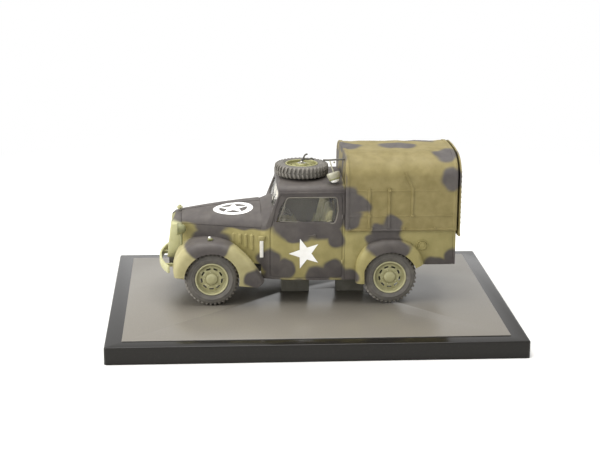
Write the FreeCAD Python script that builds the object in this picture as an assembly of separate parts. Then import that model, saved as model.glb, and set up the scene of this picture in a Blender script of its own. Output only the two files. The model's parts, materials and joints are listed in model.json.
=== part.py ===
import FreeCAD, Part
import math
import os

# Display model of a light utility car on its plinth, at the model's own size in millimetres.
# Row frame: +X toward the tail, +Y away from the near (left) side, +Z up,
# with the origin in the middle of the plinth's underside.
# The car is drawn in its own frame (mid-wheelbase, centre line, ground) and set down on the plinth.

Vector = FreeCAD.Vector

# Plinth, and where the car stands on it
plinthLong = 111.0
plinthDeep = 86.0
plinthThick = 5.0
plinthEdge = 0.5
ledgeWide = 4.4
ledgeDrop = 0.25
carForward = 2.6
carSetback = 4.5

# Wheels and axles
wheelbase = 49.6
track = 26.9
wheelSides = 24
tyreRadius = 7.6
tyreWide = 3.5
tyreLift = 0.1
rimRadius = 4.6
rimWall = 0.35
beadDrop = 0.4
flangeWide = 0.3
hubRadius = 1.3
hubCapRadius = 1.55
hubCapRise = 0.9
wheelSlots = 6
slotRingShare = 0.62
slotLong = 0.75
slotWide = 0.5
pinRadius = 0.55
pinLong = 1.95
pinClear = 0.05
beadShare = 0.7
drumRadius = 3.2
drumWide = 1.1
drumGap = 0.35
beamHalfTall = 0.6
beamHalfDeep = 0.55
rearTubeRadius = 0.85
diffRadius = 2.1

# Chassis
railHalf = 6.7
railWide = 1.0
railTall = 1.9
railFrontReach = 8.3
springLong = 12.4
springThick = 0.5
springRuns = 6
padLong = 7.9
padWide = 5.0
padPitch = 15.8
padAhead = 0.8
crossLong = 2.4
screwRadius = 1.1
screwHeadRadius = 2.1
screwHeadTall = 1.4
screwReach = 4.5
propRadius = 0.7
propClear = 0.25
gearboxLong = 9.0
gearboxHalf = 2.1
gearboxTall = 3.6
exhaustRadius = 0.55
silencerRadius = 1.15
silencerLong = 11.0

# Body levels and widths, heights above the ground
panel = 0.8
bodyOut = 0.85
sillHeight = 7.0
floorHeight = 11.1
floorThick = 0.7
waistHeight = 21.5
beltHeight = 23.0
gutterLean = 0.9
windowTall = 8.6
roofRise = 2.6
gutterProud = 0.3
gutterTall = 0.35
grooveDeep = 0.2
cornerSides = 2
cornerShare = 0.45
turnSides = 12
barSides = 6
tinyGap = 1e-7
grooveWide = 0.3
fitGap = 0.05
seatGap = 0.1
over = 2.0

# Bonnet, nose and cowl
noseAhead = 8.2
noseHalf = 5.8
noseRise = 2.5
bonnetLong = 22.0
cowlShare = 0.839
cowlDrop = 1.7
cowlLong = 1.0
scuttleDrop = 3.4
scuttleLean = 1.2
scuttleLong = 4.2
screenRake = 22.0
sideFoot = 11.2
grilleDeep = 4.6
grilleFoot = 8.7
grilleFrame = 0.75
grilleRecess = 0.6
grilleBar = 0.28
grilleUprights = 9
grilleRungs = 2
capRadius = 0.75
capTall = 1.3
louvreCount = 4
louvrePitch = 1.75
louvreWide = 1.1
louvreProud = 0.45
louvreDrop = 1.6
louvreAhead = 0.5
shoulderRuns = 3
crownRuns = 4
planRuns = 4

# Inside the cab
seatRise = 4.0
dashRise = 1.6
steerRadius = 3.3
steerRim = 0.3
steerDrop = 0.4
steerLean = 52.0
steerSideShare = 0.434
steerAlongShare = 0.27
columnShare = 0.93
rimSides = 5

# Wings
wingProud = 2.3
wingRoll = 1.5
rollRuns = 2
archGap = 0.7
lipThick = 0.7
lipOverlap = 0.05
wingTop = 18.3
rearWingTop = 18.7

# Bumper and lamps
bumperAhead = 14.7
bumperInset = 1.5
bumperSweep = 2.5
bumperThick = 0.6
bumperTall = 2.0
bumperHeight = 10.1
ironWide = 0.8
ironShare = 0.35
headlampRadius = 1.75
headlampDeep = 2.6
headlampOut = 2.6
headlampHeight = 20.6
headlampAhead = 8.3
lampStem = 0.35
sideLampRadius = 0.5
sideLampInset = 3.4
sideLampLong = 1.7

# Load body and tilt
cabBack = 12.7
rearOverhang = 18.3
tailgateThick = 0.8
tailgateRibs = 5
bedLip = 0.5
sideTop = 22.4
bedSkirtHeight = 11.1
tiltProud = 0.95
tiltFoot = 21.1
tiltWall = 0.75
tiltShoulder = 35.8
tiltCrown = 42.2
curtainThick = 0.7
curtainFoot = 19.4

# Roof gear
spareAhead = 24.0
spareSide = 1.5
clampRadius = 0.45
clampRise = 1.3
canisterRadius = 1.6
canisterLong = 2.9
canisterAhead = 2.7
canisterInset = 2.8
canisterRise = 0.7
roofRodRadius = 0.22

# Small fittings
hingeRadius = 0.4
hingeTall = 1.2
handleLong = 1.8
handleThick = 0.45
fillerRadius = 1.45
fillerProud = 0.35
armTall = 4.9
armWide = 1.0
armDrop = 3.4
armBoxTall = 1.3
armThick = 0.35
wiperRadius = 0.16
wiperTall = 2.9
wiperLean = 0.6
glassThick = 0.35

# Stations along the car and up from the ground
frontAxleX = -wheelbase / 2
rearAxleX = wheelbase / 2
axleHeight = tyreRadius + tyreLift
noseX = frontAxleX - noseAhead
cowlX = noseX + bonnetLong
screenX = cowlX + cowlLong
cabRearX = rearAxleX - cabBack
cabLong = cabRearX - screenX
bedRearX = rearAxleX + rearOverhang
bedLong = bedRearX - cabRearX
gutterHeight = beltHeight + windowTall
roofCrown = gutterHeight + roofRise
noseCrown = waistHeight + noseRise
scuttleCrown = gutterHeight - scuttleDrop
cowlCrown = scuttleCrown - cowlDrop
tyreHalfWide = tyreWide / 2
wheelPlane = track / 2
bodyHalf = wheelPlane + bodyOut
gutterHalf = bodyHalf - gutterLean
cowlHalf = bodyHalf * cowlShare
scuttleHalf = bodyHalf - scuttleLean
wingHalf = bodyHalf + wingProud
tiltHalf = bodyHalf + tiltProud
headlampHalf = noseHalf + headlampOut
sideLampHalf = wingHalf - sideLampInset
rakeShare = math.tan(math.radians(screenRake))
railFoot = floorHeight - railTall
grilleX = noseX - grilleDeep


def save(name, shape):
    os.makedirs("parts", exist_ok=True)
    shape.exportStep("parts/" + name + ".step")


def onPlinth(shape):
    moved = shape.copy()
    moved.translate(Vector(-carForward, carSetback, plinthThick))
    return moved


def saveCar(name, shape):
    save(name, onPlinth(shape))


def box(x0, x1, y0, y1, z0, z1):
    return Part.makeBox(x1 - x0, y1 - y0, z1 - z0, Vector(x0, y0, z0))


def mirrored(shape):
    return shape.mirror(Vector(0, 0, 0), Vector(0, 1, 0))


def pair(shape):
    return Part.makeCompound([shape, mirrored(shape)])


def fuse(shapes):
    return shapes[0].multiFuse(shapes[1:]).removeSplitter()


def biggest(shape):
    return max(shape.Solids, key=lambda solid: solid.Volume)


def seated(piece, *carriers):
    # The piece trimmed to the surfaces that carry it
    for carrier in carriers:
        piece = piece.cut(carrier)
    return biggest(piece)


def rounded(points, radius):
    # A closed outline through the points with every corner rounded in short runs
    outline = []
    count = len(points)
    for i, corner in enumerate(points):
        back = points[i - 1] - corner
        ahead = points[(i + 1) % count] - corner
        half = back.getAngle(ahead) / 2
        run = min(radius / math.tan(half), back.Length * cornerShare, ahead.Length * cornerShare)
        back.normalize()
        ahead.normalize()
        bisector = back + ahead
        bisector.normalize()
        middle = corner + bisector * (run / math.cos(half) - run * math.tan(half))
        outline += bend(corner + back * run, middle, corner + ahead * run, cornerSides)
    return closed(outline)


def prism(wire, direction):
    return Part.Face(wire).extrude(direction)


def sidePrism(points, y0, y1, radius=0):
    # A side-view outline of (x, z) points, carried across from y0 to y1
    corners = [Vector(x, y0, z) for x, z in points]
    wire = rounded(corners, radius) if radius else Part.makePolygon(corners + corners[:1])
    return prism(wire, Vector(0, y1 - y0, 0))


def planPrism(points, z0, z1, radius=0):
    corners = [Vector(x, y, z0) for x, y in points]
    wire = rounded(corners, radius) if radius else Part.makePolygon(corners + corners[:1])
    return prism(wire, Vector(0, 0, z1 - z0))


def frontPrism(points, x0, x1, radius=0):
    corners = [Vector(x0, y, z) for y, z in points]
    wire = rounded(corners, radius) if radius else Part.makePolygon(corners + corners[:1])
    return prism(wire, Vector(x1 - x0, 0, 0))


def facets(corners):
    # The flat faces over three or four corners: one where they share a plane, else two
    distinct = [p for i, p in enumerate(corners) if p.distanceToPoint(corners[i - 1]) > tinyGap]
    if len(distinct) < 3:
        return []
    if len(distinct) == 4:
        a, b, c, d = distinct
        if abs((b - a).cross(c - a).dot(d - a)) > tinyGap:
            return [Part.Face(closed([a, b, c])), Part.Face(closed([a, c, d]))]
    return [Part.Face(closed(distinct))]


def skinned(rings, looped=False):
    # A solid over rings of matching points, with an end cap at each side unless the rings loop
    faces = []
    pairs = list(zip(rings, rings[1:]))
    if looped:
        pairs.append((rings[-1], rings[0]))
    else:
        faces += [Part.Face(closed(rings[0])), Part.Face(closed(rings[-1]))]
    for near, far in pairs:
        for i in range(len(near)):
            faces += facets([near[i - 1], near[i], far[i], far[i - 1]])
    solid = Part.makeSolid(Part.makeShell(faces))
    if solid.Volume < 0:
        solid.reverse()
    return solid


def turned(profile, centre, axis, out, sides):
    # Turns (radius, distance) points about an axis in flat facets; out is where the first one starts
    across = axis.cross(out)
    rings = []
    for i in range(sides):
        angle = math.pi * 2 * i / sides
        spoke = out * math.cos(angle) + across * math.sin(angle)
        rings.append([centre + spoke * radius + axis * along for radius, along in profile])
    return skinned(rings, looped=True)


def drum(centre, axis, out, radius, long, sides):
    # A plain round block that starts at its centre and runs along its axis
    return turned([(0, 0), (radius, 0), (radius, long), (0, long)], centre, axis, out, sides)


def tube(route, radius):
    # A round bar along the route in flat facets, mitred at every corner
    runs = [(b - a).normalize() for a, b in zip(route, route[1:])]
    side = runs[0].cross(Vector(0, 0, 1))
    if side.Length < tinyGap:
        side = Vector(0, 1, 0)
    side.normalize()
    other = runs[0].cross(side)
    ring = []
    for i in range(barSides):
        angle = math.pi * 2 * i / barSides
        ring.append(route[0] + (side * math.cos(angle) + other * math.sin(angle)) * radius)
    rings = [ring]
    for run, ahead, corner in zip(runs, runs[1:] + runs[-1:], route[1:]):
        mitre = run + ahead
        ring = [p + run * ((corner - p).dot(mitre) / run.dot(mitre)) for p in ring]
        rings.append(ring)
    return skinned(rings)


def rod(start, end, radius):
    return Part.makeCylinder(radius, (end - start).Length, start, end - start)


def bend(start, through, end, count):
    # Points along the arc from start to end, both included, in count equal runs
    arc = Part.Arc(start, through, end)
    first, last = arc.FirstParameter, arc.LastParameter
    return [arc.value(first + (last - first) * i / count) for i in range(count + 1)]


def flipped(points):
    return [Vector(p.x, -p.y, p.z) for p in reversed(points)]


def closed(points):
    return Part.makePolygon(points + points[:1])


def shareLine(shares, x0, z0, long, tall):
    return [(x0 + long * across, z0 + tall * up) for across, up in shares]


# Plinth and what screws the car to it

def padCentres():
    first = -padAhead
    return [first, first + padPitch]


def makePlinth():
    halfLong = plinthLong / 2
    halfDeep = plinthDeep / 2
    block = box(-halfLong, halfLong, -halfDeep, halfDeep, 0, plinthThick)
    topEdges = [edge for edge in block.Edges
                if edge.BoundBox.ZMin > plinthThick / 2 or edge.BoundBox.ZLength > plinthThick / 2]
    block = block.makeChamfer(plinthEdge, topEdges)
    outer = box(-halfLong - over, halfLong + over, -halfDeep - over, halfDeep + over,
                plinthThick - ledgeDrop, plinthThick + over)
    inner = box(-halfLong + ledgeWide, halfLong - ledgeWide, -halfDeep + ledgeWide, halfDeep - ledgeWide,
                0, plinthThick + over)
    block = block.cut(outer.cut(inner))
    for x in padCentres():
        foot = Vector(x - carForward, carSetback, 0)
        for radius, tall in ((screwRadius + seatGap, plinthThick + over), (screwHeadRadius + seatGap, screwHeadTall)):
            block = block.cut(drum(foot, Vector(0, 0, 1), Vector(1, 0, 0), radius, tall, turnSides))
    return block


def makePads():
    pads = []
    for x in padCentres():
        pad = box(x - padLong / 2, x + padLong / 2, -padWide / 2, padWide / 2, 0, railFoot)
        slotHalf = propRadius + propClear
        pad = pad.cut(box(x - padLong, x + padLong, -slotHalf, slotHalf, axleHeight - slotHalf, railFoot + over))
        foot = Vector(x, 0, 0)
        pads.append(pad.cut(drum(foot, Vector(0, 0, 1), Vector(1, 0, 0), screwRadius, screwReach, turnSides)))
    return Part.makeCompound(pads)


def makeScrews():
    screws = []
    for x in padCentres():
        profile = [(0, 0), (screwHeadRadius, 0), (screwHeadRadius, screwHeadTall), (screwRadius, screwHeadTall),
                   (screwRadius, plinthThick + screwReach), (0, plinthThick + screwReach)]
        screw = turned(profile, Vector(x, 0, -plinthThick), Vector(0, 0, 1), Vector(1, 0, 0), turnSides)
        slot = box(x - screwHeadRadius, x + screwHeadRadius, -grooveWide, grooveWide,
                   -plinthThick - over, -plinthThick + screwHeadTall / 2)
        screws.append(screw.cut(slot))
    return Part.makeCompound(screws)


# Chassis, axles and running gear

def makeChassis():
    railFront = frontAxleX - railFrontReach
    railRear = bedRearX - tailgateThick - fitGap
    rail = box(railFront, railRear, railHalf - railWide / 2, railHalf + railWide / 2, railFoot, floorHeight)
    hollow = box(railFront + railTall, railRear - railTall, railHalf - railWide, railHalf,
                 railFoot + railWide / 4, floorHeight - railWide / 4)
    rail = rail.cut(hollow)
    pieces = [rail, mirrored(rail)]
    stations = padCentres() + [railFront + crossLong, rearAxleX + springLong, railRear - crossLong]
    for x in stations:
        pieces.append(box(x - crossLong / 2, x + crossLong / 2, -railHalf, railHalf, railFoot, floorHeight))
    return fuse(pieces)


def springAt(axleX, seatHeight):
    # One leaf pack bowed down onto the axle, its two eyes under the rail
    half = springLong / 2
    y = railHalf - railWide / 2
    eye = railFoot - springThick
    low = bend(Vector(axleX - half, y, eye), Vector(axleX, y, seatHeight), Vector(axleX + half, y, eye), springRuns)
    high = [p + Vector(0, 0, springThick) for p in reversed(low)]
    return prism(closed(low + high), Vector(0, railWide, 0))


def makeSprings():
    springs = []
    for axleX, seatHeight in ((frontAxleX, axleHeight + beamHalfTall), (rearAxleX, axleHeight + rearTubeRadius)):
        spring = springAt(axleX, seatHeight)
        springs += [spring, mirrored(spring)]
    return Part.makeCompound(springs)


def axleEnd(axleX):
    # Brake drum, and the plain pin that the wheel turns on
    drumOut = wheelPlane - hubRadius - drumGap
    foot = Vector(axleX, drumOut - drumWide, axleHeight)
    brake = drum(foot, Vector(0, 1, 0), Vector(0, 0, 1), drumRadius, drumWide, turnSides)
    pin = Part.makeCylinder(pinRadius, drumWide + drumGap + pinLong, foot, Vector(0, 1, 0))
    return brake.fuse(pin)


def makeFrontAxle():
    reach = wheelPlane - hubRadius - drumGap - drumWide / 2
    beam = box(frontAxleX - beamHalfDeep, frontAxleX + beamHalfDeep, -reach, reach,
               axleHeight - beamHalfTall, axleHeight + beamHalfTall)
    web = box(frontAxleX + beamHalfDeep / 3, frontAxleX + over, -reach + drumWide, reach - drumWide,
              axleHeight - beamHalfTall / 2, axleHeight + beamHalfTall / 2)
    beam = beam.cut(web).cut(web.mirror(Vector(frontAxleX, 0, 0), Vector(1, 0, 0)))
    end = axleEnd(frontAxleX)
    return fuse([beam, end, mirrored(end)])


caseShares = [(0, -1), (0.72, -0.78), (1, -0.2), (1, 0.2), (0.72, 0.78), (0, 1)]


def makeRearAxle():
    reach = wheelPlane - hubRadius - drumGap - drumWide / 2
    centre = Vector(rearAxleX, 0, axleHeight)
    axis = Vector(0, 1, 0)
    casing = tube([centre - axis * reach, centre + axis * reach], rearTubeRadius)
    profile = [(diffRadius * out, diffRadius * along) for out, along in caseShares]
    case = turned(profile, centre, axis, Vector(0, 0, 1), turnSides)
    end = axleEnd(rearAxleX)
    return fuse([casing, case, end, mirrored(end)])


gearboxShares = [(0, 0), (0.55, 0.1), (1, 0.3), (1, 0.75), (0.5, 0.9), (0, 1)]


def makeDriveline():
    boxRear = padCentres()[0] - padLong / 2 - seatGap
    gearbox = sidePrism(shareLine(gearboxShares, boxRear - gearboxLong, axleHeight - gearboxTall / 2,
                                  gearboxLong, gearboxTall), -gearboxHalf, gearboxHalf)
    shaft = rod(Vector(boxRear - gearboxLong / 2, 0, axleHeight),
                Vector(rearAxleX - diffRadius / 2, 0, axleHeight), propRadius)
    return fuse([gearbox, shaft])


silencerShares = [(0, 0), (0.6, 0), (1, 0.06), (1, 0.94), (0.6, 1), (0, 1)]


def makeExhaust():
    # Silencer beside the near rail, its tail pipe dipping under the rear axle
    y = -railHalf - railWide / 2 - silencerRadius - seatGap
    high = floorHeight - silencerRadius - seatGap
    low = axleHeight - rearTubeRadius - exhaustRadius * 2
    start = cowlX + silencerLong / 2
    profile = [(silencerRadius * out, silencerLong * along) for out, along in silencerShares]
    body = turned(profile, Vector(start, y, high), Vector(1, 0, 0), Vector(0, 0, 1), turnSides)
    route = [Vector(cowlX, y, high), Vector(start + silencerLong, y, high),
             Vector(rearAxleX - springLong / 2, y, low), Vector(rearAxleX + springLong / 2, y, low)]
    return fuse([body, tube(route, exhaustRadius)])


# Wheels

tyreShares = [(0.45, 1), (0.88, 0.88), (1, 0.62)]


def makeTyre(centre, axis, out):
    # Closed tyre section from the bead, over the sidewall and the tread, and back
    inner = rimRadius - beadDrop
    tall = tyreRadius - rimRadius
    seatAlong = tyreHalfWide * beadShare
    half = [(rimRadius + tall * up, tyreHalfWide * side) for up, side in tyreShares]
    back = [(radius, -along) for radius, along in reversed(half)]
    profile = [(inner, seatAlong), (rimRadius, seatAlong)] + half + back
    profile += [(rimRadius, -seatAlong), (inner, -seatAlong)]
    return turned(profile, centre, axis, out, wheelSides)


discShares = [(0.76, 0.36), (0.42, 0.46)]


def makeDisc(centre, axis, out):
    # Rim and pressed disc in one, with the hub cap outside and the blind bore inside
    seatAlong = tyreHalfWide * beadShare
    inner = rimRadius - beadDrop
    dish, root = [(rimRadius * share, tyreHalfWide * along) for share, along in discShares]
    capAlong = root[1] + hubCapRise
    profile = [(inner, seatAlong + flangeWide), dish, root, (hubCapRadius, root[1] + hubCapRise / 2),
               (0, capAlong), (0, -hubRadius), (hubRadius, -hubRadius), (hubRadius, dish[1] - rimWall),
               (inner - rimWall, 0), (inner - rimWall, -seatAlong), (inner, -seatAlong), (inner, seatAlong),
               (rimRadius, seatAlong), (rimRadius, seatAlong + flangeWide)]
    disc = turned(profile, centre, axis, out, wheelSides)
    boreLong = pinLong + pinClear * 2
    disc = disc.cut(Part.makeCylinder(pinRadius + pinClear, boreLong, centre - axis * hubRadius, axis))
    frame = FreeCAD.Placement(centre, FreeCAD.Rotation(out, axis.cross(out), axis))
    reach = rimRadius * slotRingShare
    for i in range(wheelSlots):
        cutter = box(reach - slotLong / 2, reach + slotLong / 2, -slotWide / 2, slotWide / 2, 0, tyreWide)
        cutter.rotate(Vector(0, 0, 0), Vector(0, 0, 1), 360 * (i / wheelSlots + 0.5 / wheelSides))
        disc = disc.cut(cutter.transformGeometry(frame.toMatrix()))
    return disc


# Bonnet, nose and cowl

louvreLongShares = [0.25, 0.3, 0.4, 0.46]
crownShares = [(0.945, 0.35), (0.77, 0.67)]


def crownRing(x, half, foot, shoulder, crown):
    # Cross-section at x: straight sides, round shoulders and a shallow crown between them
    rise = crown - shoulder
    side = Vector(x, half, shoulder)
    turn, edge = [Vector(x, half * out, shoulder + rise * up) for out, up in crownShares]
    corner = bend(side, turn, edge, shoulderRuns)
    top = bend(edge, Vector(x, 0, crown), flipped([edge])[0], crownRuns)
    return [Vector(x, half, foot)] + corner + top[1:-1] + flipped(corner) + [Vector(x, -half, foot)]


def bonnetSolid(inset, foot, reach):
    front = crownRing(noseX - reach, noseHalf - inset, foot, waistHeight, noseCrown - inset)
    rear = crownRing(cowlX + reach, cowlHalf - inset, foot, waistHeight, cowlCrown - inset)
    return skinned([front, rear])


def makeBonnet():
    shell = bonnetSolid(0, waistHeight - grooveWide, 0).cut(bonnetSolid(panel, waistHeight - over, over))
    return biggest(shell.cut(box(noseX - over, cowlX + over, -bodyHalf, bodyHalf,
                                 waistHeight - over, waistHeight)))


def sideLine(offset):
    # Plan points of the bonnet's side, moved inward by offset
    return [(noseX, noseHalf - offset), (cowlX, cowlHalf - offset)]


def bonnetRoom(offset):
    # All the space between the bonnet's two sides on one side of the centre line
    return planPrism([(noseX, 0)] + sideLine(offset) + [(cowlX, 0)], sideFoot - over, waistHeight)


def makeBonnetSides():
    outer = sideLine(0)
    inner = sideLine(panel)
    wall = planPrism(outer + inner[::-1], sideFoot, waistHeight - fitGap)
    slope = (cowlHalf - noseHalf) / bonnetLong
    pieces = [wall]
    for i in range(louvreCount):
        x = cowlX - louvreAhead - louvrePitch * (louvreCount - i)
        top = waistHeight - louvreDrop
        long = louvreLongShares[i] * (waistHeight - sideFoot)
        y = noseHalf + (x - noseX) * slope
        foot = Vector(x, y - louvreWide / 2 + louvreProud, top - long)
        rib = tube([foot, foot + Vector(0, 0, long)], louvreWide / 2)
        pieces.append(rib.cut(bonnetRoom(panel)))
    return pair(fuse(pieces))



noseShares = [(1, 0), (1, 1), (0.67, 0.97), (0.4, 0.86), (0.22, 0.5), (0.04, 0.08), (0.1, 0)]
shieldShares = [(0.62, 0), (0.9, 0.3), (1, 0.62), (1, 0.82)]


def noseProfile(shift):
    tall = noseCrown - grilleFoot
    return shareLine(noseShares, grilleX + shift, grilleFoot, grilleDeep, tall)


def shieldSolid(inset):
    # Front view of the nose: wide at the shoulder, narrower at the foot, with a crowned top
    tall = noseCrown - grilleFoot - inset * 2
    low = grilleFoot + inset
    wide = noseHalf - inset
    right = [Vector(grilleX - over, wide * side, low + tall * up) for side, up in shieldShares]
    top = bend(right[-1], Vector(grilleX - over, 0, noseCrown - inset), flipped(right)[0], crownRuns)
    return prism(closed(right + top[1:-1] + flipped(right)), Vector(grilleDeep + over * 2, 0, 0))


def makeGrilleShell():
    solid = sidePrism(noseProfile(0), -noseHalf, noseHalf).common(shieldSolid(0))
    cut = solid.cut(sidePrism(noseProfile(grilleRecess), -bodyHalf, bodyHalf)).common(shieldSolid(grilleFrame))
    return biggest(solid.cut(cut))


def makeGrilleBars():
    slab = sidePrism(noseProfile(grilleRecess / 3), -noseHalf, noseHalf)
    slab = slab.cut(sidePrism(noseProfile(grilleRecess), -bodyHalf, bodyHalf))
    slab = slab.common(shieldSolid(grilleFrame))
    bars = []
    wide = noseHalf * 2
    for i in range(grilleUprights):
        y = wide * ((i + 0.5) / grilleUprights - 0.5)
        bars.append(box(grilleX - over, noseX, y - grilleBar / 2, y + grilleBar / 2, grilleFoot, noseCrown))
    tall = noseCrown - grilleFoot
    for i in range(grilleRungs):
        z = grilleFoot + tall * (i + 0.5) / grilleRungs
        bars.append(box(grilleX - over, noseX, -noseHalf, noseHalf, z - grilleBar / 2, z + grilleBar / 2))
    return biggest(slab.common(fuse(bars)))


capShares = [(0, 0), (0.8, 0), (0.8, 0.62), (1, 0.62), (0.75, 1), (0, 1)]


def makeRadiatorCap(grille, bonnet):
    foot = Vector(noseX - capRadius, 0, noseCrown - capRadius)
    profile = [(capRadius * out, (capTall + capRadius) * up) for out, up in capShares]
    cap = turned(profile, foot, Vector(0, 0, 1), Vector(1, 0, 0), turnSides)
    return seated(cap, grille, bonnet)


# Cab

planShares = [(0, cowlShare), (0.26, 0.94), (0.6, 1)]


def cabPlan(inset, z0, z1):
    # Plan of the cab: it widens in one arc from the cowl and then runs straight to the rear
    front = cowlX + inset
    long = cabRearX - cowlX
    rear = cabRearX - inset
    side = [Vector(cowlX + long * along, bodyHalf * out - inset, z0) for along, out in planShares]
    arc = bend(*side, planRuns)
    arc[0].x = front
    right = arc + [Vector(rear, side[-1].y, z0)]
    return prism(closed(right + flipped(right)), Vector(0, 0, z1 - z0))


def screenAt(z):
    return screenX + rakeShare * (z - waistHeight)


roofShares = [(0.174, -0.2), (0.17, 0.7), (0.2, 0.92), (0.28, 0.99), (0.6, 1), (1, 0.97)]
headerShare = 0.3


def cabSide(inset):
    foot = sillHeight if inset <= 0 else sillHeight - over
    tall = roofCrown - gutterHeight
    roof = [(screenX + cabLong * along + (inset if along < headerShare else 0),
             gutterHeight + tall * up - inset) for along, up in roofShares]
    roof[-1] = (cabRearX - inset, roof[-1][1])
    points = [(screenX + inset, foot), (screenX + inset, waistHeight),
              (screenAt(roof[0][1]) + inset, roof[0][1])] + roof[1:] + [(cabRearX - inset, foot)]
    return sidePrism(points, -bodyHalf - over, bodyHalf + over)


def cabFront(inset):
    # Cross-section: upright to the belt, leaning in to the gutter, then the crowned roof
    foot = sillHeight if inset <= 0 else sillHeight - over
    x0 = cowlX - over
    tall = roofCrown - gutterHeight
    side = [Vector(x0, bodyHalf - inset, foot), Vector(x0, bodyHalf - inset, beltHeight)]
    gutter = Vector(x0, gutterHalf - inset, gutterHeight)
    turn, edge = [Vector(x0, gutterHalf * out - inset, gutterHeight + tall * up - inset * up)
                  for out, up in roofEdgeShares]
    right = side + bend(gutter, turn, edge, shoulderRuns)
    top = bend(edge, Vector(x0, 0, roofCrown - inset), flipped([edge])[0], crownRuns)
    return prism(closed(right + top[1:-1] + flipped(right)), Vector(cabRearX - cowlX + over * 2, 0, 0))


def cowlSolid(inset):
    foot = sillHeight if inset <= 0 else sillHeight - over
    front = crownRing(cowlX + inset, cowlHalf - inset, foot, waistHeight, cowlCrown - inset)
    rear = crownRing(cowlX + scuttleLong, scuttleHalf - inset, foot, waistHeight, scuttleCrown - inset)
    solid = skinned([front, rear])
    top = roofCrown + over
    ahead = sidePrism([(cowlX - over, foot - over), (screenX + inset, foot - over), (screenX + inset, waistHeight),
                       (screenAt(top) + inset, top), (cowlX - over, top)], -bodyHalf * 2, bodyHalf * 2)
    return solid.common(ahead)


def cabSolid(inset):
    cabin = cabSide(inset).common(cabFront(inset)).common(cabPlan(inset, 0, roofCrown + over))
    return cabin.fuse(cowlSolid(inset))


roofEdgeShares = [(0.955, 0.52), (0.84, 0.76)]
doorShares = [(0.061, 0.02), (0.061, 0.56), (0.182, 0.985), (0.976, 0.985), (0.976, 0.02)]
windowShares = [(0.186, 0.69), (0.288, 0.968), (0.884, 0.968), (0.908, 0.81), (0.869, 0.672)]


def doorOutline(shares):
    return shareLine(shares, screenX, sillHeight, cabLong, gutterHeight - sillHeight)


def doorWindow(clear):
    points = doorOutline(windowShares)
    midX = sum(x for x, z in points) / len(points)
    midZ = sum(z for x, z in points) / len(points)
    shrunk = [(x + math.copysign(clear, midX - x), z + math.copysign(clear, midZ - z)) for x, z in points]
    return sidePrism(shrunk, gutterHalf / 2, wingHalf + over, panel)


screenShares = [(0.84, 0), (0.87, 0.85), (0.72, 1)]
screenTopShare = -0.25
screenBaseShare = 0.78


def screenWindow(clear):
    # Windscreen light, cut level through the sloping front of the cab
    high = gutterHeight + (roofCrown - gutterHeight) * screenTopShare
    base = waistHeight + (scuttleCrown - waistHeight) * screenBaseShare
    tall = high - base
    half = gutterHalf - clear
    points = [(half * out, base + clear + (tall - clear * 2) * up) for out, up in screenShares]
    ring = [(-y, z) for y, z in reversed(points)]
    x0 = screenX - over
    return frontPrism(points + ring, x0, x0 + cabLong / 2, panel)


def makeCabShell():
    outer = cabSolid(0)
    shell = outer.cut(cabSolid(panel))
    gutter = cabSolid(-gutterProud).cut(outer)
    gutter = gutter.common(box(screenX + cabLong * doorShares[2][0], cabRearX, -wingHalf, wingHalf,
                               gutterHeight, gutterHeight + gutterTall))
    for side in (doorWindow(0), mirrored(doorWindow(0))):
        shell = shell.cut(side)
    shell = shell.cut(screenWindow(0).cut(cowlSolid(0)))
    under = box(cowlX - over, cabRearX + over, -bodyHalf * underShare, bodyHalf * underShare, 0, floorHeight)
    shell = shell.cut(under)
    line = sidePrism(doorOutline(doorShares), -wingHalf, wingHalf, panel)
    inside = [(x + math.copysign(grooveWide, -x + screenX + cabLong / 2),
               z + math.copysign(grooveWide, waistHeight - z)) for x, z in doorOutline(doorShares)]
    groove = line.cut(sidePrism(inside, -wingHalf - over, wingHalf + over, panel))
    skin = outer.cut(cabSolid(grooveDeep))
    groove = groove.common(skin).common(box(screenX, cabRearX - grooveDeep, -wingHalf, wingHalf,
                                            sillHeight, gutterHeight))
    shell = shell.cut(groove)
    gutters = [part for part in gutter.Solids if part.Volume > gutterTall * gutterProud]
    return biggest(fuse([shell] + gutters))


underShare = 0.8


def glassBetween(cutter):
    skin = cabSolid(panel / 3).cut(cabSolid(panel / 3 + glassThick))
    return biggest(skin.common(cutter))


def makeDoorGlass():
    return glassBetween(mirrored(doorWindow(fitGap)))


def makeWindscreen():
    return glassBetween(screenWindow(fitGap).cut(cowlSolid(-fitGap)).cut(
        box(screenAt(gutterHeight) + panel * 2, cabRearX, -wingHalf, wingHalf, 0, roofCrown)))


def makeCabFloor():
    block = cabPlan(panel + fitGap, floorHeight, floorHeight + floorThick)
    return block


seatShares = [(0.42, 0), (0.42, 0.22), (0.46, 0.27), (0.68, 0.24), (0.79, 0.92), (0.83, 0.97),
              (0.87, 0.95), (0.78, 0.12), (0.76, 0)]


seatInnerShare = 0.1
seatOuterShare = 0.84


def makeSeats():
    # Cushion and back in one profile, a pair beside the centre line
    base = floorHeight + floorThick
    points = shareLine(seatShares, screenX, base, cabLong, beltHeight + seatRise - base)
    return pair(sidePrism(points, bodyHalf * seatInnerShare, bodyHalf * seatOuterShare))


dashShares = [(0, 0.62), (0, 1), (0.09, 0.98), (0.115, 0.66), (0.08, 0.6)]


def makeDashboard():
    # Instrument shelf between the door pillars, seated on the inside of the cowl
    points = shareLine(dashShares, screenX, floorHeight, cabLong, waistHeight + dashRise - floorHeight)
    shelf = sidePrism(points, -bodyHalf, bodyHalf)
    return biggest(shelf.common(cabSolid(panel + fitGap)))


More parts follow.
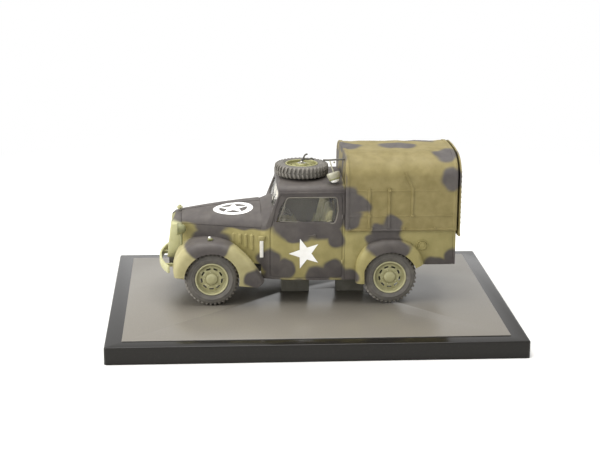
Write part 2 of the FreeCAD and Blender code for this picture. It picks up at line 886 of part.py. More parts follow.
def makeSteering():
    steerHeight = beltHeight - steerDrop
    lean = math.radians(steerLean)
    axis = Vector(-math.cos(lean), 0, -math.sin(lean))
    hub = Vector(screenX + cabLong * steerAlongShare, bodyHalf * steerSideShare, steerHeight)
    across = Vector(0, 1, 0)
    up = axis.cross(across)
    angles = [math.pi * 2 * i / rimSides for i in range(rimSides)]
    section = [(steerRadius + steerRim * math.cos(a), steerRim * math.sin(a)) for a in angles]
    drop = (steerHeight - floorHeight - floorThick) / math.sin(lean)
    pieces = [turned(section, hub, axis, up, turnSides), tube([hub, hub + axis * drop * columnShare], steerRim)]
    for turn in (0, math.pi * 2 / 3, math.pi * 4 / 3):
        spoke = across * math.sin(turn) + up * math.cos(turn)
        pieces.append(tube([hub, hub + spoke * steerRadius], steerRim / 2))
    return fuse(pieces)


# Wings

frontWingShares = [(-0.455, 0.46), (-0.458, 0.58), (-0.42, 0.74), (-0.34, 0.875), (-0.22, 0.965), (-0.05, 1),
                   (0.1, 0.985), (0.225, 0.93), (0.335, 0.82), (0.43, 0.69), (0.52, 0.52), (0.585, 0.37)]
frontWingFoot = [(0.36, 0.33)]
rearWingShares = [(-0.385, 0.335), (-0.385, 0.6), (-0.35, 0.76), (-0.27, 0.9), (-0.13, 0.985), (0, 1),
                  (0.13, 0.985), (0.25, 0.91), (0.33, 0.79), (0.38, 0.62)]
rearWingFoot = [(0, 0.45)]


def tucked(line, distance):
    # The open line of points, each moved down and under by the distance
    shifted = []
    last = len(line) - 1
    for i, point in enumerate(line):
        run = line[min(i + 1, last)] - line[max(i - 1, 0)]
        run.normalize()
        shifted.append(point + Vector(run.z, 0, -run.x) * distance)
    return shifted


def wingBlank(axleX, shares, foot, top, inner):
    # One wing over its wheel, its outer edge rolled down in steps of a quarter circle
    long = wheelbase / 2
    line = [Vector(axleX + long * along, 0, top * up) for along, up in shares]
    low = [Vector(axleX + long * along, 0, top * up) for along, up in foot]
    sections = [(inner, 0)]
    for i in range(rollRuns + 1):
        turn = math.pi / 2 * i / rollRuns
        sections.append((wingHalf - wingRoll * (1 - math.sin(turn)), wingRoll * (1 - math.cos(turn))))
    return skinned([[Vector(p.x, y, p.z) for p in tucked(line, inward) + low] for y, inward in sections])


def archCut(axleX, inner):
    # Room for the wheel inside the wing, and the mouth that it shows through
    cuts = []
    for radius, y0, y1 in ((tyreRadius + archGap, inner, wingHalf - lipThick),
                           (tyreRadius + lipOverlap, wingHalf - over, wingHalf + over)):
        cuts.append(drum(Vector(axleX, y0, axleHeight), Vector(0, 1, 0), Vector(0, 0, 1), radius, y1 - y0, wheelSides))
        cuts.append(box(axleX - radius, axleX + radius, y0, y1, 0, axleHeight))
    return fuse(cuts)


def makeFrontWing():
    wing = wingBlank(frontAxleX, frontWingShares, frontWingFoot, wingTop, 0)
    wing = wing.cut(archCut(frontAxleX, 0))
    slope = (cowlHalf - noseHalf) / bonnetLong
    ahead = noseAhead + grilleDeep + over
    keepOut = planPrism([(noseX - ahead, -over), (noseX - ahead, noseHalf - slope * ahead), (cowlX, cowlHalf),
                         (cowlX, -over)], 0, wingTop * 2)
    nosePad = box(grilleX - over, noseX, -over, noseHalf, 0, wingTop * 2)
    railRoom = box(grilleX - over, cowlX, -over, railHalf + railWide / 2 + seatGap, 0, floorHeight + seatGap)
    wing = wing.cut(keepOut).cut(nosePad).cut(railRoom).cut(cabPlan(-fitGap, 0, wingTop * 2))
    return biggest(wing)


def makeRearWing():
    wing = wingBlank(rearAxleX, rearWingShares, rearWingFoot, rearWingTop, bodyHalf)
    return biggest(wing.cut(archCut(rearAxleX, 0)))


# Bumper and lamps

def makeBumper():
    frontX = frontAxleX - bumperAhead
    endX = frontX + bumperSweep
    bumperHalf = bodyHalf - bumperInset
    z = bumperHeight - bumperTall / 2
    outer = [Vector(endX, bumperHalf, z), Vector(frontX, 0, z), Vector(endX, -bumperHalf, z)]
    inner = [Vector(p.x + bumperThick, p.y, p.z) for p in outer]
    wire = Part.Wire([Part.Arc(*outer).toShape(), Part.LineSegment(outer[2], inner[2]).toShape(),
                      Part.Arc(inner[2], inner[1], inner[0]).toShape(),
                      Part.LineSegment(inner[0], outer[0]).toShape()])
    blade = prism(wire, Vector(0, 0, bumperTall))
    irons = []
    railFront = frontAxleX - railFrontReach
    for side in (-1, 1):
        y = side * railHalf
        iron = box(frontX, railFront, y - ironWide / 2, y + ironWide / 2,
                   railFoot + fitGap, railFoot + railTall / 2)
        irons.append(iron.cut(box(frontX - over, frontX + bumperSweep * ironShare, -bumperHalf, bumperHalf, 0, wingTop)))
    return fuse([blade] + irons)


bowlShares = [(0, 0.06), (0.84, 0.06), (0.9, 0), (1, 0.05), (1, 0.25), (0.9, 0.55), (0.62, 0.85), (0, 1)]
podShares = [(0, 0), (0.8, 0), (1, 0.15), (0.85, 0.6), (0, 1)]


def makeHeadlamp(*carriers):
    x = frontAxleX - headlampAhead
    centre = Vector(x - headlampDeep / 2, headlampHalf, headlampHeight)
    profile = [(headlampRadius * out, headlampDeep * along) for out, along in bowlShares]
    bowl = turned(profile, centre, Vector(1, 0, 0), Vector(0, 0, 1), turnSides)
    stem = tube([Vector(x, headlampHalf, sideFoot), Vector(x, headlampHalf, headlampHeight)], lampStem)
    return seated(bowl.fuse(stem).removeSplitter(), *carriers)


def makeSideLamp(carrier):
    x = frontAxleX
    centre = Vector(x - sideLampRadius * 2, sideLampHalf, wingTop + sideLampRadius)
    profile = [(sideLampRadius * out, sideLampLong * along) for out, along in podShares]
    pod = turned(profile, centre, Vector(1, 0, 0), Vector(0, 0, 1), barSides * 2)
    foot = tube([Vector(x, sideLampHalf, wingTop - over), Vector(x, sideLampHalf, wingTop + sideLampRadius)],
                sideLampRadius / 2)
    return seated(pod.fuse(foot).removeSplitter(), carrier)


# Load body, tailgate, tilt and rear curtain

def makeBed():
    front = cabRearX + fitGap
    rear = bedRearX - tailgateThick
    outer = box(front, rear, -bodyHalf, bodyHalf, bedSkirtHeight, sideTop)
    inner = box(front + panel, rear + over, -bodyHalf + panel, bodyHalf - panel,
                floorHeight + floorThick, sideTop + over)
    shell = outer.cut(inner)
    skirtRear = rearAxleX - tyreRadius
    skirt = box(front, skirtRear, bodyHalf - panel, bodyHalf, sillHeight, bedSkirtHeight)
    houseInner = wheelPlane - tyreHalfWide - archGap
    out = Vector(0, 0, 1)
    house = drum(Vector(rearAxleX, houseInner - panel, axleHeight), Vector(0, 1, 0), out,
                 tyreRadius + archGap + panel, bodyHalf - houseInner + panel, wheelSides)
    house = house.common(box(front, rear, 0, bodyHalf, floorHeight, sideTop))
    room = drum(Vector(rearAxleX, houseInner, axleHeight), Vector(0, 1, 0), out,
                tyreRadius + archGap, wingHalf, wheelSides)
    solid = fuse([shell, skirt, mirrored(skirt), house, mirrored(house)])
    lip = box(front + panel, rear, bodyHalf - panel - bedLip, bodyHalf - panel, sideTop - panel, sideTop)
    solid = fuse([solid, lip, mirrored(lip)])
    return biggest(solid.cut(room).cut(mirrored(room)))


def makeTailgate():
    x = bedRearX - tailgateThick
    half = bodyHalf
    gate = box(x + fitGap, bedRearX, -half, half, bedSkirtHeight, sideTop - panel)
    ribs = [gate]
    for i in range(tailgateRibs):
        y = half * 2 * ((i + 0.5) / tailgateRibs - 0.5)
        ribs.append(box(bedRearX - fitGap, bedRearX + grooveWide, y - panel / 2, y + panel / 2,
                        bedSkirtHeight + panel, curtainFoot - panel))
    return fuse(ribs)


shoulderShares = [(0.965, 0.38), (0.82, 0.66)]


def hoopWire(x, inset, foot):
    # The tilt's cross-section: upright sides, round shoulders and a shallow crown
    half = tiltHalf - inset
    rise = tiltCrown - tiltShoulder
    side = Vector(x, half, tiltShoulder - inset)
    turn, edge = [Vector(x, half * out, tiltShoulder - inset + rise * up) for out, up in shoulderShares]
    corner = bend(side, turn, edge, shoulderRuns * 2)
    top = bend(edge, Vector(x, 0, tiltCrown - inset), flipped([edge])[0], crownRuns * 2)
    return closed([Vector(x, half, foot)] + corner + top[1:-1] + flipped(corner) + [Vector(x, -half, foot)])


def makeTilt():
    front = cabRearX + fitGap
    outer = prism(hoopWire(front, 0, tiltFoot), Vector(bedRearX - front, 0, 0))
    inner = prism(hoopWire(front + tiltWall, tiltWall, tiltFoot - over), Vector(bedRearX, 0, 0))
    shell = outer.cut(inner)
    front = box(cabRearX - over, cabRearX + tiltWall * 2, -bodyHalf - seatGap, bodyHalf + seatGap,
                tiltFoot - over, sideTop + fitGap)
    return biggest(shell.cut(front))


def makeCurtain():
    # Rear curtain, laced round the last hoop and hanging down outside the tailgate
    start = bedRearX + grooveWide + fitGap
    sheet = prism(hoopWire(start, 0, curtainFoot), Vector(curtainThick, 0, 0))
    rim = prism(hoopWire(bedRearX, 0, tiltFoot), Vector(start - bedRearX, 0, 0))
    hole = prism(hoopWire(bedRearX, tiltWall, tiltFoot - over), Vector(start - bedRearX, 0, 0))
    return fuse([sheet, rim.cut(hole)])


# Roof gear and small fittings

def spareCentre():
    return Vector(rearAxleX - spareAhead, -spareSide, roofCrown + seatGap + tyreHalfWide)


leverShares = [(0.9, 0.75), (-0.4, 0.9), (2, -0.6)]
plateShare = 0.95


def makeClamp(*carriers):
    # Stud up through the spare's hub, with a bent wing lever and two short arms on top
    centre = spareCentre()
    top = centre + Vector(0, 0, tyreHalfWide + clampRise)
    plateFoot = centre + Vector(0, 0, tyreHalfWide * plateShare)
    pieces = [tube([Vector(centre.x, centre.y, roofCrown - over), top], clampRadius),
              tube([plateFoot, plateFoot + Vector(0, 0, clampRadius)], hubRadius)]
    for along, up in leverShares:
        pieces.append(tube([top, top + Vector(along, 0, up) * clampRise], roofRodRadius))
    return seated(fuse(pieces), *carriers)


canisterTilt = Vector(0.35, -0.35, -1).normalize()
canisterShares = [(0, 0), (0.8, 0), (1, 0.5), (0.85, 0.85), (0.45, 1), (0, 1.05)]


def makeCanister(*carriers):
    # Lamp on the rear corner of the roof, on its bent wire bracket
    centre = Vector(cabRearX - canisterAhead, canisterInset - gutterHalf, roofCrown + canisterRise)
    crown = centre - canisterTilt * canisterLong / 2
    profile = [(canisterRadius * out, canisterLong * along) for out, along in canisterShares]
    body = turned(profile, crown, canisterTilt, canisterTilt.cross(Vector(1, 0, 0)).normalize(), turnSides)
    elbow = centre + Vector(-canisterRadius, canisterLong, canisterLong)
    far = elbow + Vector(canisterLong, canisterRadius, 0)
    foot = Vector(elbow.x, elbow.y, roofCrown - over)
    pieces = [body, tube([centre, elbow, far], roofRodRadius), tube([foot, elbow], roofRodRadius)]
    return seated(fuse(pieces), *carriers)


hingeShares = [(0.972, 0.735), (0.972, 0.21)]


def makeHinges():
    hinges = []
    for along, up in hingeShares:
        x, z = doorOutline([(along, up)])[0]
        half = bodyHalf
        if z > beltHeight:
            half -= (bodyHalf - gutterHalf) * (z - beltHeight) / (gutterHeight - beltHeight)
        foot = Vector(x, half, z - hingeTall / 2)
        knuckle = tube([foot, foot + Vector(0, 0, hingeTall)], hingeRadius)
        hinge = seated(knuckle, cabSolid(0))
        hinges += [hinge, mirrored(hinge)]
    return Part.makeCompound(hinges)


handleShares = [(0.62, 0.525)]


def makeHandles():
    x, z = doorOutline(handleShares)[0]
    foot = Vector(x, bodyHalf - handleThick, z)
    boss = tube([foot, foot + Vector(0, handleThick * 2, 0)], handleThick)
    lever = box(x - handleLong, x + handleThick / 2, bodyHalf + handleThick / 2, bodyHalf + handleThick,
                z - handleThick / 2, z + handleThick / 2)
    handle = seated(fuse([boss, lever]), cabSolid(0))
    return pair(handle)


fillerShares = (0.69, 0.49)
fillerCapShares = [(0, 0), (1, 0), (1, 0.6), (0.8, 1), (0.35, 0.7), (0, 0.7)]


def makeFillerCap():
    x = cabRearX + bedLong * fillerShares[0]
    z = bedSkirtHeight + (sideTop - bedSkirtHeight) * fillerShares[1]
    profile = [(fillerRadius * out, fillerProud * along) for out, along in fillerCapShares]
    return turned(profile, Vector(x, -bodyHalf, z), Vector(0, -1, 0), Vector(0, 0, 1), turnSides)


armAheadShare = 0.4


def makeSignalArms():
    # Direction arm hanging down outside the cowl from its small housing
    x = cowlX - armWide * armAheadShare
    z1 = waistHeight - armDrop
    half = cowlHalf
    arm = box(x, x + armWide, half - over, half + armThick * 2, z1 - armTall, z1)
    housing = box(x - armThick, x + armWide + armThick, half - over, half + armThick * 3, z1, z1 + armBoxTall)
    return pair(seated(fuse([arm, housing]), cabSolid(0), bonnetRoom(0)))


wiperSideShare = 0.45


def makeWipers():
    # Two blades on the windscreen, each on its arm from the cowl
    blades = []
    for side in (-1, 1):
        y = side * gutterHalf * wiperSideShare
        z0 = scuttleCrown - panel
        out = wiperRadius + fitGap
        foot = Vector(screenAt(z0) - out, y, z0)
        tip = foot + Vector(rakeShare, -wiperLean, 1) * wiperTall
        blades.append(seated(tube([foot, tip], wiperRadius), cowlSolid(0)))
    return Part.makeCompound(blades)


def wheelName(end, side):
    return end + "_" + side


def buildWheels():
    for end, axleX in (("front", frontAxleX), ("rear", rearAxleX)):
        for side, sign in (("left", -1), ("right", 1)):
            centre = Vector(axleX, sign * wheelPlane, axleHeight)
            axis = Vector(0, sign, 0)
            out = Vector(0, 0, 1)
            saveCar("tyre_" + wheelName(end, side), makeTyre(centre, axis, out))
            saveCar("wheel_disc_" + wheelName(end, side), makeDisc(centre, axis, out))


def buildAll():
    save("plinth", makePlinth())
    saveCar("mounting_pads", makePads())
    saveCar("plinth_screws", makeScrews())
    saveCar("chassis_frame", makeChassis())
    saveCar("leaf_springs", makeSprings())
    saveCar("axle_front", makeFrontAxle())
    rearAxle = makeRearAxle()
    saveCar("axle_rear", rearAxle)
    saveCar("driveline", seated(makeDriveline(), rearAxle))
    saveCar("exhaust", makeExhaust())
    buildWheels()

    bonnet = makeBonnet()
    saveCar("bonnet", bonnet)
    saveCar("bonnet_sides", makeBonnetSides())
    grille = makeGrilleShell()
    saveCar("grille_shell", grille)
    saveCar("grille_bars", makeGrilleBars())
    saveCar("radiator_cap", makeRadiatorCap(grille, bonnet))

    cab = makeCabShell()
    saveCar("cab_shell", cab)
    saveCar("cab_floor", makeCabFloor())
    saveCar("seats", makeSeats())
    dashboard = makeDashboard()
    saveCar("dashboard", dashboard)
    saveCar("steering_wheel", seated(makeSteering(), cab, dashboard))
    glass = makeDoorGlass()
    saveCar("door_glass_left", glass)
    saveCar("door_glass_right", mirrored(glass))
    saveCar("windscreen", seated(makeWindscreen(), cab))

    wing = makeFrontWing()
    saveCar("wing_front_right", wing)
    saveCar("wing_front_left", mirrored(wing))
    rearWing = makeRearWing()
    saveCar("wing_rear_right", rearWing)
    saveCar("wing_rear_left", mirrored(rearWing))
    saveCar("bumper", makeBumper())
    lamp = makeHeadlamp(wing, grille)
    saveCar("headlamp_right", lamp)
    saveCar("headlamp_left", mirrored(lamp))
    saveCar("side_lamps", pair(makeSideLamp(wing)))

    saveCar("load_bed", makeBed())
    saveCar("tailgate", makeTailgate())
    saveCar("tilt", makeTilt())
    saveCar("rear_curtain", makeCurtain())

    centre = spareCentre()
    up = Vector(0, 0, 1)
    out = Vector(1, 0, 0)
    spareDisc = makeDisc(centre, up, out)
    saveCar("spare_tyre", makeTyre(centre, up, out))
    saveCar("spare_disc", spareDisc)
    saveCar("spare_clamp", makeClamp(spareDisc, cab))
    saveCar("roof_lamp", makeCanister(cab))
    saveCar("door_hinges", makeHinges())
    saveCar("door_handles", makeHandles())
    saveCar("filler_cap", makeFillerCap())
    saveCar("signal_arms", makeSignalArms())
    saveCar("wipers", makeWipers())


buildAll()
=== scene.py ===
import bpy
import bmesh
import json
import math
import mathutils
from contextlib import contextmanager
from mathutils import Matrix, Vector
from mathutils.bvhtree import BVHTree


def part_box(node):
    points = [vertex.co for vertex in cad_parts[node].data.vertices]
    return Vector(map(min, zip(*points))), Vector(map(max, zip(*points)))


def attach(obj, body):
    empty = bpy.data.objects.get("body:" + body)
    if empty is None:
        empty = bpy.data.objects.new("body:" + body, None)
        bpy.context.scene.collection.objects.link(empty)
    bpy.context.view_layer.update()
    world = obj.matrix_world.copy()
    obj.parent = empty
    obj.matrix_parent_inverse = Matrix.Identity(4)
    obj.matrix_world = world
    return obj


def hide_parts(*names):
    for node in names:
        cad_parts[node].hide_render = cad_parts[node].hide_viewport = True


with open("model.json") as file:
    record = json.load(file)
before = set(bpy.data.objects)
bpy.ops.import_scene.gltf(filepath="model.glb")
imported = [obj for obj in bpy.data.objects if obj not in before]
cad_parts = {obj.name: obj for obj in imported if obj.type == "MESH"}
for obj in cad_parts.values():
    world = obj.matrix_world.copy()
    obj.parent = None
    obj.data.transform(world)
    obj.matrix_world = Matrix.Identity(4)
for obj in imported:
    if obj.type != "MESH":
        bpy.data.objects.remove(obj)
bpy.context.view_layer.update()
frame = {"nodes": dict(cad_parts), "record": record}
print("frame loaded")

# The car is drawn in millimetres in its own frame: x from mid-wheelbase, y from its centre line and z from
# the ground
mm = 0.001


def middle(node):
    low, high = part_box(node)
    return (Vector(low) + Vector(high)) / 2


wheelEnds = ("front_left", "front_right", "rear_left", "rear_right")
frontLeft, frontRight, rearLeft = [middle("tyre_" + end) for end in wheelEnds[:3]]
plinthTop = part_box("plinth")[1][2]
carAt = Vector(((frontLeft.x + rearLeft.x) / 2, (frontLeft.y + frontRight.y) / 2, plinthTop))
halfBase = (rearLeft.x - frontLeft.x) / 2 / mm
axleHeight = (frontLeft.z - plinthTop) / mm
tyreRadius = (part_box("tyre_front_left")[1][2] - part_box("tyre_front_left")[0][2]) / 2 / mm


def carBox(node):
    # A node's lowest and highest corner in the car's own millimetres
    low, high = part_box(node)
    return (Vector(low) - carAt) / mm, (Vector(high) - carAt) / mm


# Camera, solved from the plinth's corners and the wheels in the photograph
view = {
    "width": 600, "focalPixels": 1502.0, "sensor": 36.0, "clip": (0.01, 10),
    "pitch": 15.0, "yaw": 3.84, "roll": 0.37, "place": (-29.77, -409.17, 135.17),
}


def makeCamera():
    pitch, yaw, roll = [math.radians(view[key]) for key in ("pitch", "yaw", "roll")]
    ahead = Vector((math.sin(yaw) * math.cos(pitch), math.cos(yaw) * math.cos(pitch), -math.sin(pitch)))
    right = Vector((math.cos(yaw), -math.sin(yaw), 0))
    up = right.cross(ahead)
    rolledRight = right * math.cos(roll) + up * math.sin(roll)
    rolledUp = up * math.cos(roll) - right * math.sin(roll)
    data = bpy.data.cameras.new("camera")
    data.sensor_width = view["sensor"]
    data.sensor_fit = "HORIZONTAL"
    data.lens = view["focalPixels"] / view["width"] * view["sensor"]
    data.clip_start, data.clip_end = view["clip"]
    camera = bpy.data.objects.new("camera", data)
    bpy.context.scene.collection.objects.link(camera)
    turn = Matrix((rolledRight, rolledUp, -ahead)).transposed()
    camera.matrix_world = Matrix.Translation(Vector(view["place"]) * mm) @ turn.to_4x4()
    bpy.context.scene.camera = camera


makeCamera()


# Colours and nodes

def linear(code):
    # An sRGB hex colour as the linear values that the shaders take
    parts = [int(code[i:i + 2], 16) / 255 for i in (1, 3, 5)]
    return [c / 12.92 if c <= 0.04045 else ((c + 0.055) / 1.055) ** 2.4 for c in parts] + [1]


def addNode(tree, kind, inputs=None, **settings):
    # One node with its settings, values and links
    node = tree.nodes.new(kind)
    for name, value in settings.items():
        setattr(node, name, value)
    for key, value in (inputs or {}).items():
        if isinstance(value, bpy.types.Node):
            value = value.outputs[0]
        if isinstance(value, bpy.types.NodeSocket):
            tree.links.new(value, node.inputs[key])
        else:
            node.inputs[key].default_value = value
    return node


def newMaterial(name):
    material = bpy.data.materials.new(name)
    material.use_nodes = True
    return material, material.node_tree, material.node_tree.nodes["Principled BSDF"]


def carPlace(tree):
    # The point on the surface in the car's millimetres
    place = addNode(tree, "ShaderNodeTexCoord").outputs["Object"]
    moved = addNode(tree, "ShaderNodeVectorMath", {0: place, 1: carAt}, operation="SUBTRACT")
    return addNode(tree, "ShaderNodeVectorMath", {0: moved, "Scale": 1 / mm}, operation="SCALE")


def mottled(tree, place, grain, first, second, low=0.35, high=0.65):
    # Two tones, given as hex colours, that drift into each other over grain millimetres
    cloud = addNode(tree, "ShaderNodeTexNoise", {"Vector": place, "Scale": 1 / grain, "Detail": 3.0})
    share = addNode(tree, "ShaderNodeMapRange", {"Value": cloud, "From Min": low, "From Max": high})
    return addNode(tree, "ShaderNodeMix", {0: share, 6: linear(first), 7: linear(second)},
                   data_type="RGBA").outputs[2]


def uneven(tree, shader, place, grain, least, most):
    # Roughness that changes between two values over grain millimetres
    cloud = addNode(tree, "ShaderNodeTexNoise", {"Vector": place, "Scale": 1 / grain, "Detail": 3.0})
    shine = addNode(tree, "ShaderNodeMapRange",
                    {"Value": cloud, "From Min": 0.3, "From Max": 0.7, "To Min": least, "To Max": most})
    tree.links.new(shine.outputs[0], shader.inputs["Roughness"])


def roughen(tree, shader, height, strength, distance):
    bump = addNode(tree, "ShaderNodeBump",
                   {"Height": height, "Strength": strength, "Distance": distance * mm})
    tree.links.new(bump.outputs[0], shader.inputs["Normal"])


def dryGrain(tree, shader, place, grain, strength, distance):
    cloud = addNode(tree, "ShaderNodeTexNoise", {"Vector": place, "Scale": 1 / grain, "Detail": 2.0})
    roughen(tree, shader, cloud, strength, distance)


def coated(tree, shader, place, colour, rough, relief):
    # Paint or plastic: its colour, its roughness as (grain, least, most) and a fine relief as (grain,
    # strength, distance)
    tree.links.new(colour, shader.inputs["Base Color"])
    uneven(tree, shader, place, *rough)
    dryGrain(tree, shader, place, *relief)


# Camouflage: dark patches sprayed over khaki. A field is a broad squared one and a patch a round one, each
# at (x, |y|, z) with its half sizes; patches that touch melt together
camouflage = {
    # nose and its pale partner: the khaki painted paler, as painted light from the front, for the grille
    # shell and bumper
    "khaki": "#8b8252", "khakiPale": "#988e5d", "nose": "#b0ae82", "noseLitPale": "#bcba90",
    # wing and its pale partner: the khaki painted paler, as painted light from the front, for the front wings
    "wing": "#999167", "wingLitPale": "#a59d73", "canvas": "#786c3f", "canvasPale": "#85794c",
    "dark": "#474240", "darkPale": "#524d49",
    "waver": 1.6, "waverGrain": 4.5, "edge": 0.6, "melt": 0.9,
    "farShift": 7.0,
    "fields": [((1.3, 0, 32.6), (11.1, 30, 13.9)), ((-21.4, 0, 28.0), (15.9, 30, 7.1))],
    "patches": [
        ((-0.9, 14, 20.0), (3.7, 4, 2.4)),
        ((9.6, 14, 19.0), (3.0, 4, 3.1)),
        ((-25.0, 8, 20.8), (4.8, 5, 2.5)),
        ((-31.0, 8, 22.4), (2.8, 5, 1.35)),
        ((-26.0, 13, 17.2), (6.7, 9, 3.6)),
        ((-12.6, 15, 7.4), (3.6, 6, 2.7)),
        ((-8.7, 13, 12.7), (3.4, 5, 3.1)),
        ((-7.8, 14.3, 8.6), (3.2, 4, 3.0)),
        ((-4.5, 14.3, 9.6), (2.9, 4, 3.1)),
        ((4.8, 14.3, 8.3), (3.2, 4, 2.8)),
        ((8.9, 14.3, 9.9), (3.5, 4, 3.0)),
        ((13.3, 14.3, 8.0), (2.7, 4, 3.1)),
        ((13.2, 15, 31.6), (2.9, 4, 2.8)),
        ((16.0, 15, 28.8), (3.0, 4, 2.7)),
        ((13.8, 15, 24.6), (2.9, 4, 2.7)),
        ((12.6, 15, 28.0), (2.2, 4, 5.0)),
        ((25.5, 15, 23.2), (2.7, 4, 2.6)),
        ((20.6, 15, 21.6), (1.7, 3, 1.6)),
        ((23.6, 15, 20.6), (4.4, 4, 2.2)),
        ((23.2, 15, 18.6), (5.4, 4, 2.8)),
        ((24.6, 15.5, 16.4), (6.3, 5, 2.9)),
        ((13.0, 0, 42.4), (5.4, 4.6, 2.6)),
        ((28.0, 0, 42.6), (5.6, 4.0, 2.6)),
        ((42.0, 14, 35.4), (3.4, 5, 3.2)),
        ((40.2, 9, 41.0), (3.4, 5, 1.6)),
        ((39.0, 14.3, 10.4), (4.6, 4, 3.0)),
        ((42.2, 14.3, 13.0), (2.6, 4, 3.0)),
        ((0.6, 14.3, 5.6), (3.0, 4, 2.0)),
    ],
}


def camouflageGroup():
    # One group for every painted material, so that the patches run on from piece to piece
    tree = bpy.data.node_groups.new("camouflage", "ShaderNodeTree")
    tree.interface.new_socket("Dark", in_out="OUTPUT", socket_type="NodeSocketFloat")
    place = carPlace(tree)
    cloud = addNode(tree, "ShaderNodeTexNoise",
                    {"Vector": place, "Scale": 1 / camouflage["waverGrain"], "Detail": 0.4}).outputs["Color"]
    sway = addNode(tree, "ShaderNodeVectorMath", {0: cloud, 1: (0.5, 0.5, 0.5)}, operation="SUBTRACT")
    sway = addNode(tree, "ShaderNodeVectorMath", {0: sway, "Scale": camouflage["waver"] * 2},
                   operation="SCALE")
    swayed = addNode(tree, "ShaderNodeVectorMath", {0: place, 1: sway})
    parts = addNode(tree, "ShaderNodeSeparateXYZ", {0: swayed}).outputs
    aside = addNode(tree, "ShaderNodeMath", {0: parts[1]}, operation="ABSOLUTE")
    shift = addNode(tree, "ShaderNodeMapRange",
                    {"Value": parts[1], "From Max": 12, "To Max": camouflage["farShift"]})
    along = addNode(tree, "ShaderNodeMath", {0: parts[0], 1: shift})
    fieldAt = addNode(tree, "ShaderNodeCombineXYZ", {0: parts[0], 1: aside, 2: parts[2]})
    patchAt = addNode(tree, "ShaderNodeCombineXYZ", {0: along, 1: aside, 2: parts[2]})
    nearest = None
    for spot, shapes, squared in ((fieldAt, "fields", True), (patchAt, "patches", False)):
        for centre, halves in camouflage[shapes]:
            off = addNode(tree, "ShaderNodeVectorMath", {0: spot, 1: centre}, operation="SUBTRACT")
            scaled = addNode(tree, "ShaderNodeVectorMath", {0: off, 1: halves}, operation="DIVIDE")
            if squared:
                scaled = addNode(tree, "ShaderNodeVectorMath", {0: scaled, 1: scaled}, operation="MULTIPLY")
            reach = addNode(tree, "ShaderNodeVectorMath", {0: scaled}, operation="LENGTH").outputs["Value"]
            if squared:
                reach = addNode(tree, "ShaderNodeMath", {0: reach}, operation="SQRT").outputs[0]
            size = (halves[0] + halves[2]) / 2
            reach = addNode(tree, "ShaderNodeMath", {0: reach, 1: size, 2: -size},
                            operation="MULTIPLY_ADD").outputs[0]
            if nearest:
                reach = addNode(tree, "ShaderNodeMath", {0: nearest, 1: reach, 2: camouflage["melt"]},
                                operation="SMOOTH_MIN").outputs[0]
            nearest = reach
    dark = addNode(tree, "ShaderNodeMapRange",
                   {"Value": nearest, "From Min": camouflage["edge"], "From Max": -camouflage["edge"]},
                   interpolation_type="SMOOTHSTEP")
    tree.links.new(dark.outputs[0], addNode(tree, "NodeGroupOutput").inputs[0])
    return tree


camouflageTree = camouflageGroup()


def sprayed(tree, place, ground, groundPale):
    # The dark patches over a ground colour, each with the slight drift of a spray
    dark = addNode(tree, "ShaderNodeGroup", node_tree=camouflageTree)
    khaki = mottled(tree, place, 3.0, ground, groundPale)
    night = mottled(tree, place, 3.0, camouflage["dark"], camouflage["darkPale"])
    return addNode(tree, "ShaderNodeMix", {0: dark, 6: khaki, 7: night}, data_type="RGBA").outputs[2]


def camouflagePaint(name, ground, groundPale):
    # Matt enamel sprayed on die-cast metal: feathered patch edges, a fine dry grain and a film of dust on top
    material, tree, shader = newMaterial(name)
    place = carPlace(tree)
    colour = sprayed(tree, place, camouflage[ground], camouflage[groundPale])
    normal = addNode(tree, "ShaderNodeNewGeometry").outputs["Normal"]
    upward = addNode(tree, "ShaderNodeSeparateXYZ", {0: normal}).outputs[2]
    film = addNode(tree, "ShaderNodeMapRange", {"Value": upward, "From Min": 0.5, "To Max": 0.03})
    dusted = addNode(tree, "ShaderNodeMix", {0: film, 6: colour, 7: linear("#a39c8c")}, data_type="RGBA")
    shader.inputs["Specular IOR Level"].default_value = 0.32
    coated(tree, shader, place, dusted.outputs[2], (2.0, 0.5, 0.66), (0.22, 0.35, 0.03))
    return material


def tiltCanvas():
    # Canvas moulded in hard plastic under the same paint. The plain weave is coarser than scale cloth, so
    # that it shows; it dulls the surface and breaks up its shine
    material, tree, shader = newMaterial("mouldedPaintedCanvas")
    place = carPlace(tree)
    colour = sprayed(tree, place, camouflage["canvas"], camouflage["canvasPale"])
    thread = 0.35
    lines = [addNode(tree, "ShaderNodeTexWave", {"Vector": place, "Scale": 0.5 / thread, "Distortion": 0.6,
                                                 "Detail": 1.0}, bands_direction=way) for way in ("X", "Z")]
    crossed = addNode(tree, "ShaderNodeMath", {0: lines[0].outputs["Fac"], 1: lines[1].outputs["Fac"]},
                      operation="MULTIPLY")
    shade = addNode(tree, "ShaderNodeMapRange", {"Value": crossed, "To Min": 0.94, "To Max": 1.04})
    woven = addNode(tree, "ShaderNodeVectorMath", {0: colour, "Scale": shade}, operation="SCALE")
    tree.links.new(woven.outputs[0], shader.inputs["Base Color"])
    uneven(tree, shader, place, 4.0, 0.6, 0.72)
    roughen(tree, shader, crossed, 0.3, 0.05)
    return material


def enamel(name, code, paleCode, roughness, grain=0.25, relief=0.02):
    # Brushed or sprayed enamel, or moulded plastic: a slight drift of tone and a fine grain
    material, tree, shader = newMaterial(name)
    place = carPlace(tree)
    colour = mottled(tree, place, grain * 8, code, paleCode)
    coated(tree, shader, place, colour, (1.5, roughness * 0.88, roughness * 1.12), (grain, 0.3, relief))
    return material


